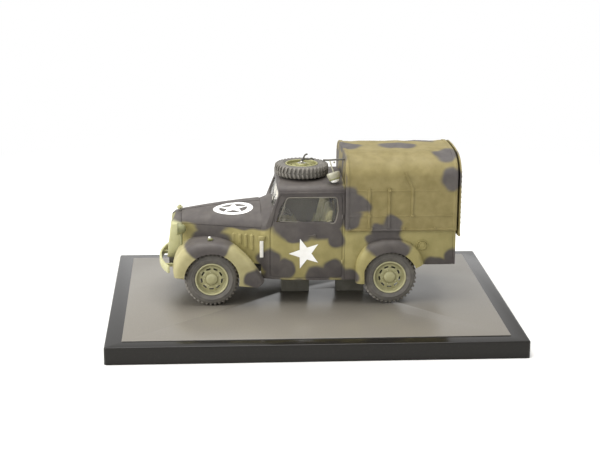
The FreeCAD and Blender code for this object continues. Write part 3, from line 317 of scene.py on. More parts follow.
def wheelEnamel(name, tone, tonePale, bare):
    # Satin khaki on a pressed disc: painted shade darkens the slots and the hollows round the hub, and the
    # edges are rubbed bare
    material, tree, shader = newMaterial(name)
    place = carPlace(tree)
    colour = mottled(tree, place, 1.5, tone, tonePale)
    edges = addNode(tree, "ShaderNodeNewGeometry").outputs["Pointiness"]
    # Painted shade: concave places, the slots and round the hub, are darkened
    hollow = addNode(tree, "ShaderNodeMapRange",
                     {"Value": edges, "From Min": 0.5, "From Max": 0.42, "To Max": 0.7})
    shadedInHollows = addNode(tree, "ShaderNodeMix", {0: hollow, 6: colour, 7: linear("#5b5538")}, data_type="RGBA")
    bright = addNode(tree, "ShaderNodeMapRange",
                     {"Value": edges, "From Min": 0.51, "From Max": 0.56, "To Max": 0.6})
    lifted = addNode(tree, "ShaderNodeMix", {0: bright, 6: shadedInHollows.outputs[2], 7: linear(bare)},
                     data_type="RGBA")
    coated(tree, shader, place, lifted.outputs[2], (1.0, 0.4, 0.55), (0.2, 0.25, 0.02))
    return material


def tyreRubber():
    # Soft matt rubber, with grey dust on the raised edges of the tread and rings
    material, tree, shader = newMaterial("mattBlackRubber")
    place = carPlace(tree)
    colour = mottled(tree, place, 1.6, "#585550", "#66625b")
    edges = addNode(tree, "ShaderNodeNewGeometry").outputs["Pointiness"]
    raised = addNode(tree, "ShaderNodeMapRange",
                     {"Value": edges, "From Min": 0.5, "From Max": 0.58, "To Max": 0.55})
    dusty = addNode(tree, "ShaderNodeMix", {0: raised, 6: colour, 7: linear("#817c73")}, data_type="RGBA")
    coated(tree, shader, place, dusty.outputs[2], (1.2, 0.62, 0.8), (0.3, 0.3, 0.03))
    return material


# Inside the ledge the top colours are a painted grey: painted reflection of the pale room and haze of the
# clear cover over black plastic
plinthLook = {
    "ledge": 4.4, "black": "#1c1a17", "blackPale": "#26231f", "top": "#716c63", "topPale": "#7c776d",
    "grain": 0.4, "cloud": 7.0, "cloudRough": 0.08, "rough": (0.12, 0.26), "gloss": (0.22, 0.5),
}


def plinthPolystyrene():
    # Black polystyrene: polished on its ledge and sides, with a grained face inside the ledge in a painted
    # soft grey that stands in for the reflection of the pale room and the haze of the clear cover
    material, tree, shader = newMaterial("blackPolystyrene")
    place = carPlace(tree)
    low, high = carBox("plinth")
    half = (high - low) / 2 - Vector((plinthLook["ledge"], plinthLook["ledge"], 0))
    off = addNode(tree, "ShaderNodeVectorMath", {0: place, 1: (low + high) / 2}, operation="SUBTRACT")
    share = addNode(tree, "ShaderNodeVectorMath", {0: off, 1: (half.x, half.y, 1)}, operation="DIVIDE")
    share = addNode(tree, "ShaderNodeVectorMath", {0: share}, operation="ABSOLUTE")
    share = addNode(tree, "ShaderNodeSeparateXYZ", {0: share}).outputs
    edge = addNode(tree, "ShaderNodeMath", {0: share[0], 1: share[1]}, operation="MAXIMUM")
    inside = addNode(tree, "ShaderNodeMath", {0: edge, 1: 1.0}, operation="LESS_THAN")
    grain = plinthLook["grain"]
    black = mottled(tree, place, grain, plinthLook["black"], plinthLook["blackPale"], 0.55, 0.8)
    # Painted reflection: the grey inside the ledge
    reflectionGrey = mottled(tree, place, grain, plinthLook["top"], plinthLook["topPale"], 0.5, 0.75)
    colour = addNode(tree, "ShaderNodeMix", {0: inside, 6: black, 7: reflectionGrey}, data_type="RGBA")
    low, high = plinthLook["rough"]
    shine = addNode(tree, "ShaderNodeMapRange", {"Value": inside, "To Min": low, "To Max": high})
    cloud = addNode(tree, "ShaderNodeTexNoise",
                    {"Vector": place, "Scale": 1 / plinthLook["cloud"], "Detail": 3.0})
    rough = addNode(tree, "ShaderNodeMath", {0: cloud, 1: plinthLook["cloudRough"], 2: shine},
                    operation="MULTIPLY_ADD")
    tree.links.new(colour.outputs[2], shader.inputs["Base Color"])
    tree.links.new(rough.outputs[0], shader.inputs["Roughness"])
    dryGrain(tree, shader, place, 0.5, 0.06, 0.02)
    low, high = plinthLook["gloss"]
    gloss = addNode(tree, "ShaderNodeMapRange", {"Value": inside, "To Min": low, "To Max": high})
    tree.links.new(gloss.outputs[0], shader.inputs["Specular IOR Level"])
    return material


def clearGlazing():
    # Thin clear styrene, polished and slightly warm with age, so that the cab shows through it
    material, tree, shader = newMaterial("clearStyreneGlazing")
    place = carPlace(tree)
    shader.inputs["Base Color"].default_value = linear("#f9f7f0")
    shader.inputs["Transmission Weight"].default_value = 0.96
    shader.inputs["IOR"].default_value = 1.06
    uneven(tree, shader, place, 2.5, 0.02, 0.07)
    return material


def armEnamel():
    # White enamel on the arm that swings out, and khaki on the small housing above it
    material, tree, shader = newMaterial("dippedArmEnamel")
    place = carPlace(tree)
    high = addNode(tree, "ShaderNodeSeparateXYZ", {0: place}).outputs[2]
    above = addNode(tree, "ShaderNodeMath", {0: high, 1: armHousingFoot}, operation="GREATER_THAN")
    white = mottled(tree, place, 1.0, "#e9e7de", "#f3f1ea")
    khaki = mottled(tree, place, 1.0, camouflage["khaki"], camouflage["khakiPale"])
    colour = addNode(tree, "ShaderNodeMix", {0: above, 6: white, 7: khaki}, data_type="RGBA")
    coated(tree, shader, place, colour.outputs[2], (1.5, 0.44, 0.56), (0.25, 0.3, 0.02))
    return material


def bareMetal(name, code, roughness):
    # Plated or polished metal, clouded where fingers have been
    material, tree, shader = newMaterial(name)
    place = carPlace(tree)
    shader.inputs["Base Color"].default_value = linear(code)
    shader.inputs["Metallic"].default_value = 1.0
    uneven(tree, shader, place, 0.6, roughness * 0.7, roughness * 1.4)
    return material


armHousingFoot = carBox("signal_arms")[1].z - 1.3

materials = {
    "camouflage_paint": camouflagePaint("mattCamouflageEnamel", "khaki", "khakiPale"),
    # A paler copy of the camouflage paint: painted light from the front on the grille shell and bumper
    "nose_painted_light": camouflagePaint("mattNoseEnamelPaintedLight", "nose", "noseLitPale"),
    # A paler copy of the camouflage paint: painted light from the front on the front wings
    "wing_painted_light": camouflagePaint("mattWingEnamelPaintedLight", "wing", "wingLitPale"),
    "tilt_canvas": tiltCanvas(),
    "plinth_plastic": plinthPolystyrene(),
    "glazing": clearGlazing(),
    "steel": bareMetal("zincPlatedSteel", "#a9a69d", 0.35),
    "window_trim": enamel("satinWindowTrimEnamel", "#6d685c", "#7b766a", 0.32),
    "lamp_silver": enamel("silverLampEnamel", "#989580", "#aaa794", 0.38),
    "chassis_black": enamel("mouldedDarkGreyPlastic", "#4d4a43", "#59564e", 0.6),
    # The pads' grey is painted lighter than the dark plastic, as painted reflected light under the sill
    "pad_painted_light": enamel("mouldedPadPlasticPaintedLight", "#7f7c70", "#8c897d", 0.65),
    "tyre_rubber": tyreRubber(),
    "wheel_paint": wheelEnamel("satinKhakiWheelEnamel", "#959166", "#a7a379", "#c8c49e"),
    # The spare wheel's enamel is the wheel khaki painted darker, as painted shade against the overhead light
    # on the roof
    "spare_painted_shade": wheelEnamel("satinWheelEnamelPaintedShade", "#777441", "#868351", "#a5a274"),
    "grille_paint": enamel("mattKhakiGrilleEnamel", "#99966f", "#a5a27b", 0.6),
    "interior_paint": enamel("mattKhakiInteriorPlastic", "#6d6844", "#777250", 0.65),
    "seat_leather": enamel("mouldedKhakiLeathercloth", "#79764f", "#86835b", 0.6),
    "radiator_core": enamel("mattBlackRadiatorEnamel", "#39362e", "#454138", 0.7),
    "black_plastic": enamel("mouldedBlackPlastic", "#3d3b36", "#4a4841", 0.45),
    "lamp_paint": enamel("satinGreenLampEnamel", "#74744d", "#85855d", 0.45),
    "arm_white": armEnamel(),
    "marking_white": enamel("printedWhiteEnamel", "#efeee8", "#f8f7f3", 0.55),
}


# Mesh helpers

weldReach = 0.0005 * mm
beyondCar = 60


def clamped(share):
    return min(max(share, 0), 1)


def between(ends, share):
    return ends[0] + (ends[1] - ends[0]) * share


def linkObject(name, mesh, finish=None):
    thing = bpy.data.objects.new(name, mesh)
    bpy.context.scene.collection.objects.link(thing)
    if finish:
        mesh.materials.clear()
        mesh.materials.append(materials[finish])
    return thing


def smooth(mesh, degrees=35):
    mesh.shade_smooth()
    mesh.set_sharp_from_angle(angle=math.radians(degrees))


def settle(thing):
    # Applies the modifiers and leaves one plain mesh
    evaluated = thing.evaluated_get(bpy.context.evaluated_depsgraph_get())
    mesh = bpy.data.meshes.new_from_object(evaluated)
    thing.modifiers.clear()
    thing.data = mesh
    return thing


def rounded(thing, width, segments, degrees):
    # Edges sharper than the angle take a small radius, as a casting's do
    bevel = thing.modifiers.new("edges", "BEVEL")
    bevel.width = width * mm
    bevel.segments = segments
    bevel.limit_method = "ANGLE"
    bevel.angle_limit = math.radians(degrees)
    return settle(thing)


def walled(thing, thickness, offset=-1):
    # A sheet gets its thickness, behind its faces at -1 and in front of them at 1
    wall = thing.modifiers.new("wall", "SOLIDIFY")
    wall.thickness = thickness * mm
    wall.offset = offset
    return settle(thing)


@contextmanager
def formOf(mesh):
    # The mesh opened for editing, and written back at the end
    form = bmesh.new()
    form.from_mesh(mesh)
    yield form
    form.to_mesh(mesh)
    form.free()


slotOf = {part["node"]: part["material_slot"] for part in frame["record"]["subparts"]}
bodyOf = {node: body for body, nodes in frame["record"]["behaviour"]["bodies"].items() for node in nodes}


def belongs(thing, body, slot):
    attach(thing, body)
    if not thing.data.materials:
        thing.data.materials.append(materials[slot])
    return thing


def stands(thing, node):
    # The piece takes the node's place, on its body and in its finish
    belongs(thing, bodyOf[node], slotOf[node])
    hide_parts(node)
    return thing


skins = {}


def skinY(node, x, z, side):
    # The outside of a node at (x, z), looked for inward from one side
    mesh = frame["nodes"][node].data
    if node not in skins:
        skins[node] = BVHTree.FromPolygons([v.co for v in mesh.vertices],
                                           [p.vertices for p in mesh.polygons])
    start = carAt + Vector((x, side * beyondCar, z)) * mm
    hit = skins[node].ray_cast(start, Vector((0, -side, 0)))[0]
    return (hit - carAt).y / mm


def roundedRing(points, radius, steps=6):
    # The closed outline with each corner turned on the radius
    ring = []
    for i, here in enumerate(points):
        here = Vector(here)
        before = (Vector(points[i - 1]) - here).normalized() * radius
        after = (Vector(points[(i + 1) % len(points)]) - here).normalized() * radius
        for k in range(steps + 1):
            t = k / steps
            ring.append(here + before * (1 - t) ** 2 + after * t ** 2)
    return ring


def gridMesh(name, rings, looped=False, capped=False, closed=True):
    # A mesh over rings of matching points in the car's millimetres
    count = len(rings[0])
    points = [carAt + Vector(p) * mm for ring in rings for p in ring]
    faces = []
    for i in range(len(rings) if looped else len(rings) - 1):
        j = (i + 1) % len(rings)
        for k in range(count if closed else count - 1):
            m = (k + 1) % count
            faces.append((i * count + k, i * count + m, j * count + m, j * count + k))
    if capped:
        faces.append(tuple(range(count)))
        faces.append(tuple((len(rings) - 1) * count + k for k in range(count)))
    mesh = bpy.data.meshes.new(name)
    mesh.from_pydata(points, [], faces)
    with formOf(mesh) as form:
        bmesh.ops.remove_doubles(form, verts=form.verts, dist=weldReach)
        bmesh.ops.recalc_face_normals(form, faces=form.faces)
    return mesh


def gridThing(name, rings, finish, **choices):
    return linkObject(name, gridMesh(name, rings, **choices), finish)


def turnedThing(name, profile, centre, axis, steps, finish):
    # A profile of (radius, distance) points in millimetres, turned about the axis
    axis = Vector(axis).normalized()
    out = Vector((0, 0, 1)) if abs(axis.z) < 0.9 else Vector((1, 0, 0))
    out = (out - axis * out.dot(axis)).normalized()
    across = axis.cross(out)
    rings = []
    for i in range(steps):
        angle = math.tau * i / steps
        spoke = out * math.cos(angle) + across * math.sin(angle)
        rings.append([Vector(centre) + spoke * radius + axis * along for radius, along in profile])
    thing = gridThing(name, rings, finish, looped=True)
    smooth(thing.data, 40)
    return thing


def wireThing(name, points, radius, finish, cyclic=False):
    # A round wire along the points, in the car's millimetres
    curve = bpy.data.curves.new(name, "CURVE")
    curve.dimensions = "3D"
    curve.bevel_depth = radius * mm
    curve.bevel_resolution = 3
    curve.use_fill_caps = True
    spline = curve.splines.new("POLY")
    spline.points.add(len(points) - 1)
    for knot, point in zip(spline.points, points):
        knot.co = (*(carAt + Vector(point) * mm), 1)
    spline.use_cyclic_u = cyclic
    drawn = linkObject(name, curve)
    mesh = bpy.data.meshes.new_from_object(drawn.evaluated_get(bpy.context.evaluated_depsgraph_get()))
    bpy.data.objects.remove(drawn)
    with formOf(mesh) as form:  # the caps come loose, so they are welded on
        bmesh.ops.remove_doubles(form, verts=form.verts, dist=weldReach)
    mesh.shade_smooth()
    return linkObject(name, mesh, finish)


def joined(name, things):
    # One object from several, with their materials kept
    base = things[0]
    with bpy.context.temp_override(active_object=base, object=base, selected_editable_objects=things,
                                   selected_objects=things):
        bpy.ops.object.join()
    base.name = name
    return base


def smoothJoined(name, things, degrees=40):
    whole = joined(name, things)
    smooth(whole.data, degrees)
    return whole


def carved(thing, cutter):
    tool = thing.modifiers.new("carve", "BOOLEAN")
    tool.operation = "DIFFERENCE"
    tool.solver = "EXACT"
    tool.object = cutter
    settle(thing)
    bpy.data.objects.remove(cutter)


def repeatTree(name, around):
    # Copies of the piece's own mesh, stepped round an axis or along a line
    tree = bpy.data.node_groups.new(name, "GeometryNodeTree")
    inputs = {}
    for label, kind in (("Geometry", "Geometry"), ("Count", "Int"), ("Step", "Vector"),
                        ("Material", "Material")):
        socket = tree.interface.new_socket(label, in_out="INPUT", socket_type="NodeSocket" + kind)
        inputs[label] = socket.identifier
    tree.interface.new_socket("Geometry", in_out="OUTPUT", socket_type="NodeSocketGeometry")
    given = addNode(tree, "NodeGroupInput").outputs
    index = addNode(tree, "GeometryNodeInputIndex")
    stepped = addNode(tree, "ShaderNodeVectorMath", {0: given["Step"], "Scale": index},
                      operation="SCALE").outputs[0]
    points = addNode(tree, "GeometryNodePoints", {"Count": given["Count"]})
    copies = addNode(tree, "GeometryNodeInstanceOnPoints", {"Points": points, "Instance": given["Geometry"]})
    tree.links.new(stepped, copies.inputs["Rotation"] if around else points.inputs["Position"])
    real = addNode(tree, "GeometryNodeRealizeInstances", {0: copies})
    finished = addNode(tree, "GeometryNodeSetMaterial", {0: real, "Material": given["Material"]})
    addNode(tree, "NodeGroupOutput", {0: finished})
    return tree, inputs


repeatTrees = {"around": repeatTree("copiesAround", True), "along": repeatTree("copiesAlong", False)}


def repeated(thing, way, count, step, finish):
    tree, inputs = repeatTrees[way]
    modifier = thing.modifiers.new("copies", "NODES")
    modifier.node_group = tree
    modifier[inputs["Count"]] = count
    modifier[inputs["Step"]] = step
    modifier[inputs["Material"]] = materials[finish]
    return settle(thing)


# Wheels: a tyre with moulded tread bars, and a pressed disc with slots. Both are drawn about the Y axis at
# the world's origin

wheel = {
    "sidewall": [(4.22, 1.2), (4.6, 1.28), (4.75, 1.42), (5.2, 1.62), (5.6, 1.7), (5.66, 1.745), (5.8, 1.745),
                 (5.86, 1.7), (6.3, 1.66), (6.72, 1.52), (6.98, 1.3), (7.08, 1.05), (7.13, 0.5)],
    "bars": 38, "barHalf": 0.25, "barSink": 0.68, "barSweep": 0.3, "barEdge": 0.04,
    "barFoot": {"spread": 1.15, "near": 0.08, "far": 1.62, "drop": 0},
    "barTop": {"spread": 0.85, "near": 0.12, "far": 1.28, "drop": 0.12},
    "disc": [(4.58, 1.3), (4.6, 1.5), (4.52, 1.6), (4.36, 1.62), (4.22, 1.55), (4.12, 1.3), (4.06, 0.95),
             (3.85, 0.76), (3.55, 0.7), (3.2, 0.78), (2.6, 0.98), (2.2, 1.04), (1.85, 0.98), (1.68, 1.02),
             (1.6, 1.2), (1.45, 1.42), (1.1, 1.58), (0.6, 1.67), (0, 1.69)],
    "discBack": [(0, -1.2), (1.25, -1.2), (1.3, 0.4), (3.4, 0.42), (3.8, 0.2), (3.85, -1.15), (4.2, -1.2),
                 (4.2, 1.2), (4.58, 1.2)],
    "slots": 9, "slotLong": 0.42, "slotWide": 0.26, "slotRadius": 2.85, "slotDeep": (-0.3, 2.2),
    "slotTurns": 6,
    "nuts": 5, "nutRing": 1.98, "nut": [(0, 1.0), (0.17, 1.0), (0.17, 1.14), (0.102, 1.18), (0, 1.18)],
    "steps": 96, "turns": (0.5, 1.2, 1.9, 2.6), "spareTurn": 0.3,
}


def barRow(sign):
    # The tread bars on one half of the tyre, each swept back and narrower at its top
    points = []
    for z, bar in ((tyreRadius - wheel["barSink"], wheel["barFoot"]), (tyreRadius, wheel["barTop"])):
        half = wheel["barHalf"] * bar["spread"]
        for x, y, drop in ((-half, bar["near"], 0), (half, bar["near"], 0),
                           (half + wheel["barSweep"], bar["far"], bar["drop"]),
                           (-half + wheel["barSweep"], bar["far"], bar["drop"])):
            points.append(Vector((x, y * sign, z - drop)) * mm)
    mesh = bpy.data.meshes.new("lug")
    mesh.from_pydata(points, [], [(0, 1, 2, 3), (4, 5, 6, 7), (0, 1, 5, 4), (1, 2, 6, 5), (2, 3, 7, 6),
                                  (3, 0, 4, 7)])
    with formOf(mesh) as form:
        bmesh.ops.recalc_face_normals(form, faces=form.faces)
        bmesh.ops.bevel(form, geom=form.edges, offset=wheel["barEdge"] * mm, segments=1, affect="EDGES")
    row = linkObject("lugs", mesh, "tyre_rubber")
    return repeated(row, "around", wheel["bars"], (0, math.tau / wheel["bars"], 0), "tyre_rubber")


def tyreThing():
    side = wheel["sidewall"]
    profile = side + [(radius, -along) for radius, along in reversed(side)]
    casing = turnedThing("tyreCasing", profile, -carAt / mm, (0, 1, 0), wheel["steps"], "tyre_rubber")
    return smoothJoined("tyreForm", [casing, barRow(-1), barRow(1)])


def discThing():
    hub = -carAt / mm
    profile = wheel["disc"] + wheel["discBack"]
    disc = turnedThing("disc", profile, hub, (0, 1, 0), wheel["steps"], "wheel_paint")
    ring = []
    for end in (-1, 1):
        for i in range(wheel["slotTurns"] + 1):
            angle = math.pi * (i / wheel["slotTurns"] - 0.5)
            ring.append((end * (wheel["slotLong"] + wheel["slotWide"] * math.cos(angle)),
                         end * wheel["slotWide"] * math.sin(angle)))
    rings = [[Vector((x, along, z + wheel["slotRadius"])) + hub for x, z in ring]
             for along in wheel["slotDeep"]]
    slots = gridThing("slots", rings, "wheel_paint", capped=True)
    carved(disc, repeated(slots, "around", wheel["slots"], (0, math.tau / wheel["slots"], 0), "wheel_paint"))
    nutAt = Vector((0, 0, wheel["nutRing"])) + hub
    nuts = turnedThing("nuts", wheel["nut"], nutAt, (0, 1, 0), 6, "wheel_paint")
    repeated(nuts, "around", wheel["nuts"], (0, math.tau / wheel["nuts"], 0), "wheel_paint")
    return smoothJoined("discForm", [disc, nuts], 32)


def placeWheel(form, node, centre, axis, turn):
    copy = form.data.copy()
    quarter = Vector((0, 1, 0)).rotation_difference(Vector(axis)).to_matrix().to_4x4()
    copy.transform(Matrix.Translation(centre) @ quarter @ Matrix.Rotation(turn, 4, "Y"))
    return stands(linkObject(node + "_dressed", copy), node)


def makeWheels():
    forms = {"tyre_": tyreThing(), "wheel_disc_": discThing()}
    for place, turn in zip(wheelEnds, wheel["turns"]):
        axis = (0, -1 if "left" in place else 1, 0)
        for kind, form in forms.items():
            placeWheel(form, kind + place, middle("tyre_" + place), axis, turn)
    centre = middle("spare_tyre")
    placeWheel(forms["tyre_"], "spare_tyre", centre, (0, 0, 1), wheel["spareTurn"])
    spare = placeWheel(forms["wheel_disc_"], "spare_disc", centre, (0, 0, 1), wheel["spareTurn"])
    # The spare disc takes the darker copy of the wheel enamel, painted shade
    spare.data.materials[0] = materials["spare_painted_shade"]
    for form in forms.values():
        bpy.data.objects.remove(form)


makeWheels()
print("wheels made")


# Tilt: moulded as canvas over hoops, with seams and straps. Seam, strap, hem and edge are each (half width,
# height above the canvas), and each of the straps is its two ends and its steps

tilt = {
    "hoops": 5, "sag": 0.12, "sagFade": 6, "endFade": 1.5, "shoulderDrop": 5.8, "wall": 0.55,
    "wrinkle": 0.13, "wrinkleGrain": 4.5, "crease": 0.7, "creaseStretch": (1.6, 0.5, 0.8),
    "fold": 0.6, "foldStretch": (2.6, 1, 0.35), "foldLean": 0.5, "foldStart": 20, "leastDip": -0.02,
    "sharpSide": 3.6, "sharpTop": 1.9, "sideSteps": 25, "crownSteps": 36, "stations": 110,
    "frontWall": (0.08, 0.6), "frontShare": 0.985, "frontDrop": 0.15,
    "band": ((-1, -0.12), (-0.92, 0.7), (-0.75, 1), (0.75, 1), (0.92, 0.7), (1, -0.12)),
    "seam": (0.22, 0.12), "strap": (0.32, 0.3), "hem": (0.3, 0.14), "edge": (0.5, 0.16),
    "seamHeights": (32.6, 25.4), "hemRise": 0.35, "edgeIn": (0.55, 0.6), "edgeSteps": 80, "longSteps": 60,
    "straps": (((18.7, 22.0), (18.7, 33.4), 14), ((24.2, 22.0), (24.2, 33.4), 14),
               ((30.6, 25.4), (30.6, 33.4), 14), ((28.4, 37.6), (30.6, 33.4), 8)),
    "buckle": ((-0.1, 0), (0.22, 0), (0.3, 0.08)), "buckleHalves": (0.42, 0.31),
    "buckles": ((18.7, 25.4), (24.2, 32.6), (30.6, 25.4)),
    "ties": (13.4, 19.5, 28.4, 37.0), "tieRise": 0.7, "tieProud": 0.02, "tieHalves": (0.3, 0.4),
}
tiltLow, tiltHigh = carBox("tilt")
tiltFoot, tiltCrown = tiltLow.z, tiltHigh.z
tiltShoulder = tiltCrown - tilt["shoulderDrop"]
tiltLong = tiltHigh.x - tiltLow.x


def tiltSection():
    # Half of the hoop's outline from the foot to the crown, as (y, z)
    steps = tilt["sideSteps"]
    points = [(tiltHigh.y, between((tiltFoot, tiltShoulder), i / steps)) for i in range(steps + 1)]
    for i in range(1, tilt["crownSteps"] + 1):
        angle = math.pi / 2 * i / tilt["crownSteps"]
        points.append((tiltHigh.y * max(math.cos(angle), 0) ** (2 / tilt["sharpSide"]),
                       between((tiltShoulder, tiltCrown), math.sin(angle) ** (2 / tilt["sharpTop"]))))
    return points


tiltHalfSection = tiltSection()
tiltOutline = [(-y, z) for y, z in tiltHalfSection] + tiltHalfSection[-2::-1]


def tiltDip(x, y, z):
    # How far the canvas falls in between the hoops, with slight creases
    pitch = tiltLong / (tilt["hoops"] - 1)
    hollow = math.sin(math.pi * (((x - tiltLow.x) / pitch) % 1)) ** 2
    over = clamped((z - tiltShoulder) / (tiltCrown - tiltShoulder))
    sag = tilt["sag"] * (over + (1 - over) * min((z - tiltFoot) / tilt["sagFade"], 1))
    a, b, c = tilt["creaseStretch"]
    crease = mathutils.noise.noise(Vector((x * a, y * b, z * c)) / tilt["wrinkleGrain"])
    a, b, c = tilt["foldStretch"]
    leaning = Vector((x * a + z * tilt["foldLean"], y * b, z * c + tilt["foldStart"]))
    fold = mathutils.noise.noise(leaning / tilt["wrinkleGrain"])
    wrinkle = (crease * tilt["crease"] + abs(fold) * tilt["fold"]) * tilt["wrinkle"]
    end = clamped(min(x - tiltLow.x, tiltHigh.x - x) / tilt["endFade"])
    return max(hollow * sag + wrinkle * end, tilt["leastDip"])


def onTilt(x, along, proud=0.0):
    # The point on the tilt at x and at a share of the way round its outline, and the way outward there
    last = len(tiltOutline) - 1
    i = min(int(along * last), last - 1)
    y, z = (between(ends, along * last - i) for ends in zip(tiltOutline[i], tiltOutline[i + 1]))
    (ya, za), (yb, zb) = tiltOutline[max(i - 1, 0)], tiltOutline[min(i + 2, last)]
    outward = Vector((0, za - zb, yb - ya)).normalized()
    if outward.y * y < 0 or (abs(y) < 1 and outward.z < 0):
        outward = -outward
    return Vector((x, y, z)) + outward * (proud - tiltDip(x, y, z)), outward


def alongAt(z, side):
    # The share round the outline at which it reaches height z on one side
    for i in range(len(tiltHalfSection) - 1):
        z0, z1 = tiltHalfSection[i][1], tiltHalfSection[i + 1][1]
        if z0 <= z <= z1:
            share = (i + (z - z0) / (z1 - z0)) / (len(tiltOutline) - 1)
            return share if side < 0 else 1 - share
    return 0.5


def tiltRoute(start, end, steps, side):
    # Evenly spaced places on one side of the tilt, between two (x, z) points
    places = [[between(ends, i / steps) for ends in zip(start, end)] for i in range(steps + 1)]
    return [(x, alongAt(z, side)) for x, z in places]


def tiltBand(name, path, half, proud, acrossX):
    # A flat strip that follows the canvas; path is a list of (x, share) places
    rings = []
    for x, along in path:
        ring = []
        for off, rise in tilt["band"]:
            if acrossX:
                ring.append(onTilt(x + off * half, along, proud * rise)[0])
            else:
                point, outward = onTilt(x, along, proud * rise)
                ring.append(point + outward.cross(Vector((1, 0, 0))) * off * half)
        rings.append(ring)
    return gridThing(name, rings, "tilt_canvas", capped=True)


def buckle(place, outward, across, halves, rises):
    # A small plate with a bevelled face, each ring at (height, inset)
    rings = [[place + outward * rise + Vector(across) * a * (halves[0] - inset)
              + Vector((0, 0, b * (halves[1] - inset))) for a, b in ((-1, -1), (1, -1), (1, 1), (-1, 1))]
             for rise, inset in rises]
    return gridThing("buckle", rings, "tilt_canvas", capped=True)


def makeTilt():
    last = len(tiltOutline) - 1
    rings = []
    for i in range(tilt["stations"] + 1):
        x = tiltLow.x + tiltLong * i / tilt["stations"]
        rings.append([onTilt(x, k / last)[0] for k in range(last + 1)])
    canvas = gridThing("tilt_dressed", rings, "tilt_canvas", closed=False)
    walled(canvas, tilt["wall"], -1 if canvas.data.polygons[0].normal.y < 0 else 1)

    # The front wall closes the tilt against the cab's back
    wall = [[(tiltLow.x + x, p.y * tilt["frontShare"], p.z - tilt["frontDrop"] if p.z > tiltFoot + 1 else p.z)
             for p in rings[0]] for x in tilt["frontWall"]]
    pieces = [canvas, gridThing("frontWall", wall, "tilt_canvas", capped=True)]

    def lengthwise(name, z, side):
        path = tiltRoute((tiltLow.x, z), (tiltHigh.x, z), tilt["longSteps"], side)
        pieces.append(tiltBand(name, path, *tilt[name], False))

    for side in (-1, 1):
        for height in tilt["seamHeights"]:
            lengthwise("seam", height, side)
        for start, end, steps in tilt["straps"]:
            pieces.append(tiltBand("strap", tiltRoute(start, end, steps, side), *tilt["strap"], True))
        for x, height in tilt["buckles"]:
            place, outward = onTilt(x, alongAt(height, side), tilt["strap"][1])
            pieces.append(buckle(place, outward, (1, 0, 0), tilt["buckleHalves"], tilt["buckle"]))
        for x in tilt["ties"]:
            place, outward = onTilt(x, alongAt(tiltFoot + tilt["tieRise"], side), tilt["tieProud"])
            pieces.append(buckle(place, outward, (1, 0, 0), tilt["tieHalves"], tilt["buckle"]))
        lengthwise("hem", tiltFoot + tilt["hemRise"], side)
    for x in (tiltLow.x + tilt["edgeIn"][0], tiltHigh.x - tilt["edgeIn"][1]):
        path = [(x, i / tilt["edgeSteps"]) for i in range(tilt["edgeSteps"] + 1)]
        pieces.append(tiltBand("edge", path, *tilt["edge"], True))
    stands(smoothJoined("tilt_dressed", pieces), "tilt")


# The rear curtain: laced to the tilt down both edges, with two rolled-up straps and soft upright folds

curtain = {
    "fold": 0.42, "foldPitch": 4.6, "foldFrom": 2, "foldGrows": 12, "drift": 2.4, "driftGrain": (6, 11),
    "taut": 3.5, "tautEdge": 0.4, "back": 0.05, "wall": 0.4, "columns": 90, "rows": 70, "pathSteps": 40,
    "footGap": 0.05, "topGap": 0.12, "topHalf": 3.0, "topFrom": 0.3,
    "strip": ((-1, -0.1), (-0.9, 1), (0.9, 1), (1, -0.1)),
    "straps": (-6.2, 6.2), "strap": (0.42, 0.22), "strapFoot": 20.4, "strapTop": 2.2,
    "buckleAt": 25.0, "buckleHalves": (0.62, 0.4), "buckle": ((-0.1, 0), (0.2, 0), (0.26, 0.08)),
    "seams": (-11.9, 0.0, 11.9), "seam": (0.18, 0.1), "seamFoot": 0.1, "seamTop": 4.5,
    "hem": (0.35, 0.14), "hemRise": 0.45, "hemIn": 0.1, "hemSteps": 60,
    "eyelets": 11, "eyeletPitch": 1.45, "eyeletFoot": 22.6, "eyeletIn": 1.3, "eyeletSunk": 0.12,
    "eyelet": [(0.2, 0), (0.2, 0.1), (0.32, 0.12), (0.44, 0.03), (0.44, 0), (0.2, 0)],
    "lace": 0.11, "laceProud": 0.12, "laceStep": 0.4, "laceEdge": (0.35, 0.08),
}


def curtainX(y, z, proud=0.0):
    # The curtain's outer face: folds that start under the crown and deepen towards the foot
    high = carBox("rear_curtain")[1]
    deep = curtain["fold"] * clamped((high.z - curtain["foldFrom"] - z) / curtain["foldGrows"])
    deep *= clamped((high.y - curtain["tautEdge"] - abs(y)) / curtain["taut"])
    across, up = curtain["driftGrain"]
    drift = mathutils.noise.noise(Vector((y / across, 3, z / up))) * curtain["drift"]
    wave = 0.5 + 0.5 * math.cos(math.tau * (y + drift) / curtain["foldPitch"])
    return high.x - curtain["back"] - deep * wave + proud


def curtainStrip(start, end, steps, half, proud, upright):
    # A flat strip on the curtain between two (y, z) points
    rings = []
    for i in range(steps + 1):
        y, z = (between(ends, i / steps) for ends in zip(start, end))
        ring = []
        for off, rise in curtain["strip"]:
            py, pz = (y + off * half, z) if upright else (y, z + off * half)
            ring.append((curtainX(py, pz, proud * rise), py, pz))
        rings.append(ring)
    return gridThing("strip", rings, "tilt_canvas", capped=True)


def tailHalf(z, side=-1):
    return abs(onTilt(tiltHigh.x, alongAt(z, side))[0].y)


def lacePoint(side, z, inward, proud):
    y = (tailHalf(z, side) - inward) * side
    return Vector((curtainX(y, z, proud), y, z))


